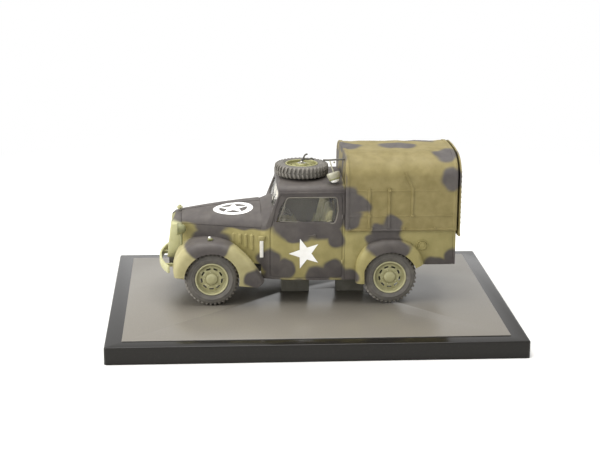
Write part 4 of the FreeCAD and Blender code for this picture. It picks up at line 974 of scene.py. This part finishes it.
def makeCurtain():
    low, high = carBox("rear_curtain")
    rings = []
    for i in range(curtain["rows"] + 1):
        z = low.z + (high.z - curtain["topGap"] - low.z) * i / curtain["rows"]
        topmost = z >= high.z - curtain["topFrom"]
        half = curtain["topHalf"] if topmost else tailHalf(max(z, tiltFoot + curtain["footGap"]))
        across = [half * (2 * k / curtain["columns"] - 1) for k in range(curtain["columns"] + 1)]
        rings.append([(curtainX(y, z), y, z) for y in across])
    cloth = gridThing("rear_curtain_dressed", rings, "tilt_canvas", closed=False)
    walled(cloth, curtain["wall"], -1 if cloth.data.polygons[0].normal.x > 0 else 1)
    pieces = [cloth]
    for y in curtain["straps"]:
        pieces.append(curtainStrip((y, curtain["strapFoot"]), (y, high.z - curtain["strapTop"]),
                                   curtain["pathSteps"], *curtain["strap"], True))
        z = curtain["buckleAt"]
        place = Vector((curtainX(y, z, curtain["strap"][1]), y, z))
        pieces.append(buckle(place, Vector((1, 0, 0)), (0, 1, 0), curtain["buckleHalves"], curtain["buckle"]))
    for y in curtain["seams"]:
        pieces.append(curtainStrip((y, low.z + curtain["seamFoot"]), (y, high.z - curtain["seamTop"]),
                                   curtain["pathSteps"], *curtain["seam"], True))
    half = -rings[0][0][1] - curtain["hemIn"]
    hemAt = low.z + curtain["hemRise"]
    pieces.append(curtainStrip((-half, hemAt), (half, hemAt), curtain["hemSteps"], *curtain["hem"], False))
    stands(smoothJoined("rear_curtain_dressed", pieces), "rear_curtain")

    laces, eyelets = [], []
    pitch = curtain["eyeletPitch"]
    for side in (-1, 1):
        foot = lacePoint(side, curtain["eyeletFoot"], curtain["eyeletIn"], 0)
        foot.x = high.x - curtain["eyeletSunk"]
        ring = turnedThing("eyelet", curtain["eyelet"], foot, (1, 0, 0), 16, "steel")
        eyelets.append(repeated(ring, "along", curtain["eyelets"], (0, 0, pitch * mm), "steel"))
        points = []
        for i in range(curtain["eyelets"]):
            z = curtain["eyeletFoot"] + pitch * i
            points.append(lacePoint(side, z, curtain["eyeletIn"], curtain["laceProud"]))
            points.append(lacePoint(side, z + pitch * curtain["laceStep"], *curtain["laceEdge"]))
        laces.append(wireThing("lace", points, curtain["lace"], "window_trim"))
    belongs(joined("curtain_eyelets", eyelets), "body", "steel")
    belongs(joined("curtain_lacing", laces), "body", "tilt_canvas")


makeTilt()
print("tilt made")


# Wings: pressed shells whose crown rolls over into a flat skirt round the wheel opening. A line's points are
# shares of half the wheelbase and of the top's height. The front wings start at the bonnet's side

wing = {
    "half": 16.6, "roll": 2.3, "square": 2.3, "opening": 7.65, "liner": 8.3, "lip": 0.7, "camber": 0.21,
    "leastFlat": 0.05, "mouthShare": 0.12, "linerIn": 0.05, "tailFrom": 0.6, "edge": 0.1,
    "runsBetween": 7, "crownSteps": 5, "rollSteps": 10, "skirtSteps": 5,
    "front": {
        # The front wings take the khaki painted paler, as painted light from the front
        "top": 18.3, "tailDrop": 8.0, "finish": "wing_painted_light",
        "line": [(-0.42, 0.46), (-0.426, 0.58), (-0.394, 0.74), (-0.322, 0.875), (-0.213, 0.965), (-0.05, 1),
                 (0.1, 0.985), (0.225, 0.93), (0.335, 0.82), (0.43, 0.69), (0.52, 0.52), (0.585, 0.37)],
    },
    "rear": {
        "top": 18.7, "tailDrop": 0, "finish": "camouflage_paint", "inner": 14.3,
        "line": [(-0.385, 0.335), (-0.385, 0.6), (-0.35, 0.76), (-0.27, 0.9), (-0.13, 0.985), (0, 1),
                 (0.13, 0.985), (0.25, 0.91), (0.33, 0.79), (0.38, 0.62)],
    },
}
bonnet = {
    "foot": 21.56, "x": (-33.0, -11.0), "half": (5.8, 12.0), "crown": (24.0, 26.5), "arch": 0.28,
    "squareSide": 2.6, "squareTop": 1.7, "wall": 0.6, "turnSteps": 80, "stations": 44,
    "hinge": [(-0.3, -0.1), (-0.22, 0.1), (-0.06, 0.13), (0, 0.05), (0.06, 0.13), (0.22, 0.1), (0.3, -0.1)],
}


def throughPoints(points, steps):
    # A smooth open line through the points
    line = []
    last = len(points) - 1
    for i in range(last):
        a, b = Vector(points[max(i - 1, 0)]), Vector(points[i])
        c, d = Vector(points[i + 1]), Vector(points[min(i + 2, last)])
        for k in range(steps):
            t = k / steps
            line.append(0.5 * (2 * b + (c - a) * t + (2 * a - 5 * b + 4 * c - d) * t * t
                               + (3 * b - a - 3 * c + d) * t ** 3))
    return line + [Vector(points[-1])]


def bonnetShare(x):
    return (x - bonnet["x"][0]) / (bonnet["x"][1] - bonnet["x"][0])


def bonnetStations(count):
    return [between(bonnet["x"], i / count) for i in range(count + 1)]


def bonnetSide(x):
    return between(bonnet["half"], clamped(bonnetShare(x)))


def wingSection(place, under, facing, inner):
    # From the body out over the crown, down the skirt and back in along the liner, as (point, y)
    hub = Vector((0, axleHeight))
    mouth, liner = hub + facing * wing["opening"], hub + facing * wing["liner"]
    outer, roll, power = wing["half"], wing["roll"], 2 / wing["square"]
    flat = outer - roll - inner
    section = []
    for k in range(wing["crownSteps"] + 1 if flat > wing["leastFlat"] else 1):
        share = k / wing["crownSteps"]
        section.append((place - under * wing["camber"] * math.sin(math.pi * share), inner + flat * share))
    for k in range(1, wing["rollSteps"] + 1):
        turn = math.pi / 2 * k / wing["rollSteps"]
        section.append((place + under * roll * (1 - math.cos(turn) ** power),
                        outer - roll * (1 - math.sin(turn) ** power)))
    skirtTop = section[-1][0]
    for k in range(1, wing["skirtSteps"] + 1):
        section.append((between((skirtTop, mouth), k / wing["skirtSteps"]), outer))
    section.append((between((mouth, liner), wing["mouthShare"]), outer - wing["lip"]))
    section.append((liner, outer - wing["lip"] - wing["linerIn"]))
    section.append((liner, inner))
    return section


def makeWing(end, name, axleX, side):
    shape = wing[end]
    line = throughPoints([(along * halfBase, up * shape["top"]) for along, up in shape["line"]],
                         wing["runsBetween"])
    last = len(line) - 1
    rings = []
    for i, place in enumerate(line):
        run = (line[min(i + 1, last)] - line[max(i - 1, 0)]).normalized()
        late = max((i / last - wing["tailFrom"]) / (1 - wing["tailFrom"]), 0)
        angle = math.atan2(place.y - axleHeight, place.x) - math.radians(shape["tailDrop"]) * late
        inner = shape.get("inner", bonnetSide(axleX + place.x))
        facing = Vector((math.cos(angle), math.sin(angle)))
        section = wingSection(place, Vector((run.y, -run.x)), facing, inner)
        rings.append([(axleX + p.x, y * side, p.y) for p, y in section])
    label = "wing_" + end + "_" + name
    body = gridThing(label + "_dressed", rings, shape["finish"], capped=True)
    smooth(body.data)
    stands(rounded(body, wing["edge"], 2, 50), label)


def bonnetPoint(x, turn, inset=0.0):
    # A point of the bonnet's skin; turn runs from one foot over the crown to the other
    share = bonnetShare(x)
    half = between(bonnet["half"], share) - inset
    crown = between(bonnet["crown"], share) - inset + bonnet["arch"] * 4 * share * (1 - share)
    c, s = math.cos(turn), math.sin(turn)
    y = math.copysign(abs(c) ** (2 / bonnet["squareSide"]), c) * half
    return x, y, between((bonnet["foot"], crown), abs(s) ** (2 / bonnet["squareTop"]))


def bonnetSection(x, inset=0.0):
    steps = bonnet["turnSteps"]
    return [bonnetPoint(x, math.pi * k / steps, inset) for k in range(steps + 1)]


def makeBonnet():
    stations = bonnetStations(bonnet["stations"])
    rings = [bonnetSection(x) + bonnetSection(x, bonnet["wall"])[::-1] for x in stations]
    hood = gridThing("bonnet_dressed", rings, "camouflage_paint", capped=True)
    rings = [[(x, y, bonnetPoint(x, math.pi / 2)[2] + rise) for y, rise in bonnet["hinge"]] for x in stations]
    hinge = gridThing("hinge", rings, "camouflage_paint", capped=True)
    stands(smoothJoined("bonnet_dressed", [hood, hinge], 35), "bonnet")


for end, axleX in (("front", -halfBase), ("rear", halfBase)):
    for side, name in ((-1, "left"), (1, "right")):
        makeWing(end, name, axleX, side)
makeBonnet()
print("wings and bonnet made")


# Star markings: printed white layers, a hair's thickness proud of the paint

marking = {
    "layer": 0.05, "proud": 0.03, "starDeep": 0.4, "sideSteps": 12, "steps": 22, "circleSteps": 24,
    "doorStar": (1.06, 14.7), "doorRadius": 4.5, "doorY": 14.32, "doorTurn": 180,
    "bonnetX": -18.6, "bonnetTurn": (67.3, 23.5), "bonnetRadius": 4.35, "bonnetStarTurn": 88,
    "ring": (3.95, 5.6), "centre": 0.001,
}


def starPoints(radius, firstAngle):
    points = []
    for k in range(10):
        reach = radius * (1 if k % 2 == 0 else marking["starDeep"])
        angle = math.radians(firstAngle + 36 * k)
        points.append((reach * math.cos(angle), reach * math.sin(angle)))
    return points


def decal(name, outline, hole, place):
    # A thin layer cut finely enough to follow the surface under it; place turns (a, b) into car points
    around = []
    for start, end in zip(outline, outline[1:] + outline[:1]):
        for k in range(marking["sideSteps"]):
            around.append([between(ends, k / marking["sideSteps"]) for ends in zip(start, end)])
    rings = []
    for i in range(marking["steps"] + 1):
        share = between((hole, 1), i / marking["steps"])
        rings.append([place(a * share, b * share) for a, b in around])
    return walled(gridThing(name, rings, "marking_white"), marking["layer"])


def makeMarkings():
    x0, z0 = marking["doorStar"]
    for side, label in ((-1, "left"), (1, "right")):
        star = decal("door_star_" + label, starPoints(marking["doorRadius"], marking["doorTurn"]),
                     marking["centre"],
                     lambda a, b: (x0 + a, side * (marking["doorY"] + marking["proud"]), z0 + b))
        belongs(star, "body", "arm_white")
    low, high = marking["ring"]
    middleTurn, spread = marking["bonnetTurn"]

    def onHood(a, b):
        turn = math.radians(middleTurn + b / high * spread)
        x, y, z = bonnetPoint(marking["bonnetX"] + a, turn, -marking["proud"])
        return x, -y, z

    outline = starPoints(marking["bonnetRadius"], marking["bonnetStarTurn"])
    star = decal("star", outline, marking["centre"], onHood)
    turns = [math.tau * k / marking["circleSteps"] for k in range(marking["circleSteps"])]
    circle = [(high * math.cos(turn), high * math.sin(turn)) for turn in turns]
    both = joined("bonnet_roundel", [star, decal("ring", circle, low / high, onHood)])
    both.data.shade_smooth()
    belongs(both, "body", "arm_white")


makeMarkings()
print("markings made")


# Lamps: a pressed bowl with a rim and a dished glass, on its stem

lamps = {
    "bowl": [(0, 2.6), (0.5, 2.52), (0.95, 2.25), (1.3, 1.8), (1.52, 1.25), (1.6, 0.75), (1.6, 0.42),
             (1.74, 0.4), (1.76, 0.22), (1.68, 0.1), (1.52, 0.1), (1.46, 0.3), (0, 0.42)],
    "lens": [(0, 0.04), (0.6, 0.08), (1.2, 0.2), (1.5, 0.34), (1.44, 0.4), (0, 0.4)],
    "stem": 0.3, "stemBack": 1.3, "stemFoot": 0.05, "steps": 40,
}


def makeHeadlamps():
    for label in ("headlamp_left", "headlamp_right"):
        low, high = carBox(label)
        y = (low.y + high.y) / 2
        front = Vector((low.x, y, high.z - (high.y - low.y) / 2))
        stemX = front.x + lamps["stemBack"]
        bowl = turnedThing("bowl", lamps["bowl"], front, (1, 0, 0), lamps["steps"], "lamp_paint")
        stem = wireThing("stem", [(stemX, y, low.z + lamps["stemFoot"]), (stemX, y, front.z)], lamps["stem"],
                         "lamp_paint")
        stands(smoothJoined(label + "_dressed", [bowl, stem]), label)
        lens = turnedThing(label + "_lens", lamps["lens"], front, (1, 0, 0), lamps["steps"], "lamp_silver")
        belongs(lens, "body", "lamp_silver")


makeHeadlamps()


# Roof gear: the bent lever on the spare wheel's stud, and the lamp that hangs by the tilt

roofGear = {
    "nut": [(0, 0), (1.15, 0), (1.15, 0.25), (0.55, 0.32), (0.55, 0.62), (0.36, 0.78), (0, 0.82)],
    "nutSunk": 0.35,
    "stud": (0.8, -1.5), "studLean": 0.2, "studNeck": 0.9, "studTop": 38.6, "studRadius": 0.36,
    "lever": [(1.0, -1.5, 38.3), (1.25, -1.5, 38.8), (1.6, -1.5, 39.6), (2.0, -1.5, 40.0), (2.5, -1.5, 40.1)],
    "tail": [(1.0, -1.5, 38.3), (1.9, -1.5, 38.75), (2.7, -1.5, 38.6), (3.6, -1.5, 38.9), (4.3, -1.5, 38.5)],
    "leverRadius": 0.24, "bendSteps": 6,
    "lamp": (9.25, -10.5, 35.5), "lean": (0.3, -0.25, -1),
    "bowl": [(0, -1.3), (1.5, -1.34), (1.78, -1.22), (1.88, -1.0), (1.84, -0.5), (1.7, 0.05), (1.52, 0.5),
             (1.3, 0.52), (0, 0.5)],
    "band": [(1.3, 0.3), (1.56, 0.34), (1.6, 0.5), (1.5, 0.74), (1.34, 0.8), (1.2, 0.7)],
    "glass": [(0, 0.6), (1.3, 0.7), (1.22, 1.0), (0.98, 1.3), (0.6, 1.5), (0, 1.58)],
    "hanger": [(9.1, -10.4, 36.9), (8.6, -10.0, 38.3), (8.06, -9.2, 40.0)], "hangerRadius": 0.2,
    "arm": [(6.3, -8.9, 40.0), (8.06, -9.2, 40.05), (10.2, -9.3, 40.2), (12.2, -9.3, 40.2)],
    "armRadius": 0.26,
    "knob": (9.3, -9.6, 39.5), "knobRadius": 0.3,
}


def bentWire(route, radius, finish):
    return wireThing(route, throughPoints(roofGear[route], roofGear["bendSteps"]), roofGear[radius], finish)


def makeClamp():
    foot = carBox("spare_clamp")[0].z
    hub = carBox("spare_disc")[1].z - roofGear["nutSunk"]
    x, y = roofGear["stud"]
    stud = [(x, y, foot), (x, y, hub + roofGear["studNeck"]),
            (x + roofGear["studLean"], y, roofGear["studTop"])]
    pieces = [turnedThing("nut", roofGear["nut"], (x, y, hub), (0, 0, 1), 24, "steel"),
              wireThing("stud", stud, roofGear["studRadius"], "chassis_black"),
              bentWire("lever", "leverRadius", "chassis_black"),
              bentWire("tail", "leverRadius", "chassis_black")]
    stands(joined("spare_clamp_dressed", pieces), "spare_clamp")


def makeRoofLamp():
    finishes = {"bowl": "lamp_silver", "band": "lamp_paint", "glass": "marking_white"}
    pieces = [turnedThing(part, roofGear[part], roofGear["lamp"], roofGear["lean"], 36, finish)
              for part, finish in finishes.items()]
    pieces.append(bentWire("hanger", "hangerRadius", "lamp_silver"))
    pieces.append(bentWire("arm", "armRadius", "chassis_black"))
    radius = roofGear["knobRadius"]
    knob = [(radius * math.sin(math.pi * k / 8), -radius * math.cos(math.pi * k / 8)) for k in range(9)]
    pieces.append(turnedThing("knob", knob, roofGear["knob"], (0, 0, 1), 16, "lamp_silver"))
    stands(joined("roof_lamp_dressed", pieces), "roof_lamp")


# Bonnet sides with half-round louvres, each at (x, share of the side's height, height above it)

sidePanel = {
    "deep": 0.8, "corner": 0.12, "stations": 22,
    "louvres": [(-18.5, 0.25, 0.18), (-16.8, 0.28, 0.45), (-15.15, 0.38, 0.45), (-13.5, 0.44, 0.45)],
    "louvreHalf": 0.58, "louvreTop": 19.75, "louvreRound": 0.5, "louvreSunk": 0.05, "louvreSteps": 10,
    "leastDome": 0.02,
}


def louvre(x, foot, proud, side):
    steps, top = sidePanel["louvreSteps"], sidePanel["louvreTop"]
    rings = []
    for k in range(steps + 1):
        z = between((foot, top), k / steps)
        over = max(z - top + sidePanel["louvreRound"], 0) / sidePanel["louvreRound"]
        dome = math.sqrt(max(1 - over ** 2, sidePanel["leastDome"]))
        ring = []
        for j in range(steps + 1):
            turn = math.pi * j / steps
            rise = math.sin(turn) * (proud + sidePanel["louvreSunk"]) * dome - sidePanel["louvreSunk"]
            aside = math.cos(turn) * sidePanel["louvreHalf"] * dome
            ring.append((x + aside, (bonnetSide(x) + rise) * side, z))
        rings.append(ring)
    return gridThing("louvre", rings, "camouflage_paint", capped=True)


def makeBonnetSides():
    low, high = carBox("bonnet_sides")
    corner = sidePanel["corner"]
    pieces = []
    for side in (-1, 1):
        rings = []
        for x in bonnetStations(sidePanel["stations"]):
            y = bonnetSide(x)
            inner = y - sidePanel["deep"]
            section = [(y, low.z), (y, high.z - corner), (y - corner, high.z), (inner, high.z),
                       (inner, low.z)]
            rings.append([(x, py * side, z) for py, z in section])
        pieces.append(gridThing("panel", rings, "camouflage_paint", capped=True))
        for x, share, proud in sidePanel["louvres"]:
            pieces.append(louvre(x, sidePanel["louvreTop"] - share * (high.z - low.z), proud, side))
    stands(smoothJoined("bonnet_sides_dressed", pieces), "bonnet_sides")


# Door windows: outlines as (x, z), and the depths of their plates from the cab's side

window = {
    "rim": 0.14, "rimRound": 0.9, "rimIn": 0.08,
    "opening": [(-6.15, 23.75), (-3.9, 30.5), (9.85, 30.5), (10.3, 26.9), (9.4, 23.2)],
    "quarter": [(-7.6, 23.45), (-6.6, 28.0), (-5.5, 30.2), (-4.6, 30.9), (-1.0, 31.0), (-1.0, 23.45)],
    "glassFoot": (-4.2, 23.45), "glassDeep": (0.35, 0.65),
    "belt": (22.6, -8.0), "gutter": (31.9, -5.2), "cutter": 20,
    "header": [(-5.9, 30.1), (-4.6, 31.8), (10.9, 31.8), (11.0, 29.0), (10.2, 30.35)],
    "pillar": [(-7.7, 23.45), (-6.7, 28.0), (-5.6, 30.2), (-4.7, 30.9), (-3.6, 30.5), (-4.7, 29.5),
               (-5.85, 27.5), (-6.85, 23.45)],
    "frameDeep": (0.22, 0.5),
}


def windowY(x, z, side):
    # The plane of the cab's side over a door window, between the belt and the gutter. The shell itself is
    # open there, and neither line is looked for further forward than its own least x
    (foot, footX), (top, topX) = window["belt"], window["gutter"]
    ends = (skinY("cab_shell", max(x, footX), foot, side), skinY("cab_shell", max(x, topX), top, side))
    return between(ends, (z - foot) / (top - foot))


def makeWindowRims():
    rims = []
    for side in (-1, 1):
        ring = [(x, windowY(x, z, side) - window["rimIn"] * side, z)
                for x, z in roundedRing(window["opening"], window["rimRound"])]
        rims.append(wireThing("rim", ring, window["rim"], "window_trim", cyclic=True))
    belongs(joined("window_rims", rims), "body", "steel")


def makeCab():
    # The door windows run further forward, behind the windscreen pillars, with a strip of glazing in each
    shell = softened("cab_shell")
    outline = window["quarter"]
    rings = [[(x, y, z) for x, z in outline] for y in (-window["cutter"], window["cutter"])]
    carved(shell, linkObject("opening", gridMesh("opening", rings, capped=True)))
    smooth(shell.data)

    def plate(name, points, deeps, side, finish):
        rings = [[(x, windowY(x, z, side) - deep * side, z) for x, z in points] for deep in deeps]
        return gridThing(name, rings, finish, capped=True)

    strips, frames = [], []
    glass = outline[:-2] + [window["glassFoot"]]
    for side in (-1, 1):
        strips.append(plate("strip", glass, window["glassDeep"], side, "glazing"))
        for part in ("header", "pillar"):
            frames.append(plate("frame", window[part], window["frameDeep"], side, "camouflage_paint"))
    belongs(joined("quarter_glazing", strips), "body", "glazing")
    belongs(joined("window_frames", frames), "body", "camouflage_paint")


# Small fittings: profiles as (radius, distance)

fittings = {
    "cap": [(0, 1.25), (0.34, 1.22), (0.45, 1.05), (0.42, 0.85), (0.8, 0.78), (0.86, 0.55), (0.74, 0.36),
            (0.5, 0.3), (0.5, 0), (0, 0)],
    "capBack": 0.2, "capTall": 1.1,
    "fillerCap": [(0, 0.34), (0.55, 0.32), (0.72, 0.2), (0.84, 0.2), (0.95, 0.34), (1.16, 0.3), (1.24, 0.02),
                  (1.4, 0.02), (1.48, 0.28), (1.66, 0.26), (1.76, -0.1), (0, -0.1)],
    "fillerBack": 0.3,
    "sideLens": [(0, 0.42), (0.18, 0.38), (0.3, 0.25), (0.33, 0.08), (0.28, -0.1), (0, -0.1)],
    "sideLensIn": 0.5, "sideLensSunk": 0.1, "sideLensLean": (-0.3, 0, 1),
    "wiperArm": 0.06, "wiperBlade": 0.08, "wiperIn": 0.16, "wiperRise": 0.13,
    "wiperArmTo": 0.65, "wiperBladeFrom": 0.3, "wiperLean": (-0.9, 0, 0.4),
    "wiperKnob": [(0, 0.2), (0.16, 0.14), (0.2, 0), (0.2, -0.2), (0, -0.2)],
}


def makeCaps():
    low, high = carBox("radiator_cap")
    centre = ((low.x + high.x) / 2 + fittings["capBack"], 0, high.z - fittings["capTall"])
    cap = turnedThing("radiator_cap_dressed", fittings["cap"], centre, (0, 0, 1), 32, "grille_paint")
    stands(cap, "radiator_cap")
    low, high = carBox("filler_cap")
    centre = ((low.x + high.x) / 2 + fittings["fillerBack"], high.y, (low.z + high.z) / 2)
    cap = turnedThing("filler_cap_dressed", fittings["fillerCap"], centre, (0, -1, 0), 40, "camouflage_paint")
    stands(cap, "filler_cap")


def makeSideLampGlasses():
    low, high = carBox("side_lamps")
    inset = fittings["sideLensIn"]
    lenses = []
    for y in (low.y + inset, high.y - inset):
        place = (low.x + inset, y, high.z - fittings["sideLensSunk"])
        lenses.append(turnedThing("lens", fittings["sideLens"], place, fittings["sideLensLean"], 18,
                                  "marking_white"))
    belongs(joined("side_lamp_glasses", lenses), "body", "arm_white")


def makeWipers():
    low, high = carBox("wipers")
    inset, rise = fittings["wiperIn"], fittings["wiperRise"]
    reach = Vector((high.x - low.x - 2 * inset, low.y + high.y, high.z - low.z - inset - rise))
    pieces = []
    for y in (high.y - inset, -high.y + inset):
        foot = Vector((low.x + inset, y, low.z + rise))
        for name, start, end in (("wiperArm", 0, fittings["wiperArmTo"]),
                                 ("wiperBlade", fittings["wiperBladeFrom"], 1)):
            pieces.append(wireThing(name, [foot + reach * start, foot + reach * end], fittings[name],
                                    "black_plastic"))
        pieces.append(turnedThing("knob", fittings["wiperKnob"], foot, fittings["wiperLean"], 16,
                                  "black_plastic"))
    stands(joined("wipers_dressed", pieces), "wipers")


# The nose: a shell and bars that end above the bumper's irons, with the radiator's bottom tank below them in
# black enamel, which also stands in as painted shade under the nose

nose = {
    "foot": ((-38.5, 11.6), (-32, 10.8)), "coreHalf": 3.4, "forward": -0.3,
    "tank": ((-36.7, 9.1), (-33.3, 11.9)), "tankHalf": 4.5, "tankRound": 0.5,
    "tankSections": ((-1, 0.3), (-0.95, 0), (0.95, 0), (1, 0.3)),
}


def trimFoot(thing):
    front, back = (Vector((x, 0, z)) for x, z in nose["foot"])
    down = Vector((back.z - front.z, 0, front.x - back.x))
    with formOf(thing.data) as form:
        whole = form.verts[:] + form.edges[:] + form.faces[:]
        cut = bmesh.ops.bisect_plane(form, geom=whole, dist=0.001 * mm, plane_co=carAt + front * mm,
                                     plane_no=down, clear_outer=True)
        rim = [edge for edge in cut["geom_cut"] if isinstance(edge, bmesh.types.BMEdge)]
        bmesh.ops.triangle_fill(form, edges=rim, use_beauty=True, normal=down)
    smooth(thing.data)


def makeTankAndShade():
    (x0, z0), (x1, z1) = nose["tank"]
    rings = []
    for along, inset in nose["tankSections"]:
        left, right, foot, top = x0 + inset, x1 - inset, z0 + inset, z1 - inset
        corners = [(left, foot), (left, top), (right, top), (right, foot)]
        rings.append([(x, along * nose["tankHalf"], z) for x, z in roundedRing(corners, nose["tankRound"])])
    # The black tank is partly the radiator's bottom tank and partly painted shade filling the dark under the
    # nose
    tank = gridThing("radiator_tank_painted_shade", rings, "radiator_core", capped=True)
    smooth(tank.data)
    belongs(tank, "body", "grille_paint")


def darkenGrille(shell):
    # The recess behind the grille bars is painted black, as a radiator core
    shell.data.materials.append(materials["radiator_core"])
    low, high = carBox("grille_bars")
    for face in shell.data.polygons:
        spot = (face.center - carAt) / mm
        if face.normal.x < nose["forward"] and abs(spot.y) < nose["coreHalf"] and low.z < spot.z < high.z:
            face.material_index = 1


# What is left of the solids, each merged and with its edges rounded by (radius, segments)

plain = {
    "weld": 0.002, "flat": 1, "sharp": 30, "edge": (0.12, 2),
    "edges": {"cab_shell": (0.28, 3), "load_bed": (0.16, 2), "seats": (0.7, 4), "dashboard": (0.3, 3),
              "tailgate": (0.16, 2)},
}
# The grille shell and bumper take the nose paint, the khaki painted paler as painted light from the front,
# and the pads a grey painted lighter as painted reflected light
ownFinish = {"grille_shell": "nose_painted_light", "bumper": "nose_painted_light", "mounting_pads": "pad_painted_light"}


def softened(node):
    mesh = frame["nodes"][node].data.copy()
    thing = linkObject(node + "_dressed", mesh, ownFinish.get(node, slotOf[node]))
    with formOf(mesh) as form:
        bmesh.ops.remove_doubles(form, verts=form.verts, dist=plain["weld"] * mm)
        bmesh.ops.dissolve_limit(form, angle_limit=math.radians(plain["flat"]), verts=form.verts,
                                 edges=form.edges)
    if slotOf[node] != "glazing":
        rounded(thing, *plain["edges"].get(node, plain["edge"]), plain["sharp"])
    smooth(thing.data)
    return stands(thing, node)


makeBonnetSides()
makeWindowRims()
makeCaps()
makeSideLampGlasses()
makeWipers()
makeRoofLamp()
makeClamp()
makeCurtain()
makeCab()
makeTankAndShade()
for node in frame["nodes"]:
    if not frame["nodes"][node].hide_render:
        dressed = softened(node)
        if node in ("grille_shell", "grille_bars"):
            trimFoot(dressed)
        if node == "grille_shell":
            darkenGrille(dressed)
print("plain forms dressed")


# Floor, backdrop and light

studio = {
    "ambient": 0.42, "floorTone": "#f2f1ee", "floorRough": 0.9, "fade": (0.10, 0.24), "reach": 3.0,
    "aim": (0, 0, 0.02),
    "lamps": [
        ("overhead", (-0.05, 0.02, 0.62), 0.6, 4.5),
        ("front", (-0.45, -0.55, 0.38), 0.5, 1.5),
        ("nose", (-0.66, -0.2, 0.28), 0.5, 3.6),
        ("tail", (0.55, -0.25, 0.35), 0.4, 0.7),
    ],
}


def whiteSeen(tree):
    # One where the camera or a reflection looks, so that the room is white there and still lights plainly
    path = addNode(tree, "ShaderNodeLightPath").outputs
    seen = addNode(tree, "ShaderNodeMath", {0: path["Is Camera Ray"], 1: path["Is Glossy Ray"]},
                   operation="MAXIMUM")
    return addNode(tree, "ShaderNodeMath", {0: seen, 1: path["Is Transmission Ray"]}, operation="MAXIMUM")


def makeStudio():
    world = bpy.data.worlds.new("world")
    bpy.context.scene.world = world
    world.use_nodes = True
    tree = world.node_tree
    background = tree.nodes["Background"]
    background.inputs["Color"].default_value = linear("#ffffff")
    strength = addNode(tree, "ShaderNodeMapRange", {"Value": whiteSeen(tree), "To Min": studio["ambient"]})
    tree.links.new(strength.outputs[0], background.inputs["Strength"])

    # The floor keeps the shadow near the plinth and fades to plain white further out
    material, tree, shader = newMaterial("paleFloor")
    shader.inputs["Base Color"].default_value = linear(studio["floorTone"])
    shader.inputs["Roughness"].default_value = studio["floorRough"]
    place = addNode(tree, "ShaderNodeTexCoord").outputs["Object"]
    away = addNode(tree, "ShaderNodeVectorMath", {0: place}, operation="LENGTH").outputs["Value"]
    near, far = studio["fade"]
    faded = addNode(tree, "ShaderNodeMapRange", {"Value": away, "From Min": near, "From Max": far})
    share = addNode(tree, "ShaderNodeMath", {0: faded, 1: whiteSeen(tree)}, operation="MULTIPLY")
    white = addNode(tree, "ShaderNodeEmission", {"Strength": 1.0})
    mixed = addNode(tree, "ShaderNodeMixShader", {0: share, 1: shader, 2: white})
    tree.links.new(mixed.outputs[0], tree.nodes["Material Output"].inputs["Surface"])
    mesh = bpy.data.meshes.new("floor")
    reach = studio["reach"]
    corners = [(-reach, -reach, 0), (reach, -reach, 0), (reach, reach, 0), (-reach, reach, 0)]
    mesh.from_pydata(corners, [], [(0, 1, 2, 3)])
    mesh.materials.append(material)
    linkObject("floor", mesh)

    aim = Vector(studio["aim"])
    for name, place, size, power in studio["lamps"]:
        data = bpy.data.lights.new(name, "AREA")
        data.shape = "DISK"
        data.size = size
        data.energy = power
        lamp = bpy.data.objects.new(name, data)
        bpy.context.scene.collection.objects.link(lamp)
        lamp.location = place
        lamp.rotation_euler = (aim - Vector(place)).to_track_quat("-Z", "Y").to_euler()
    bpy.context.scene.view_settings.view_transform = "Standard"


makeStudio()
print("studio ready")
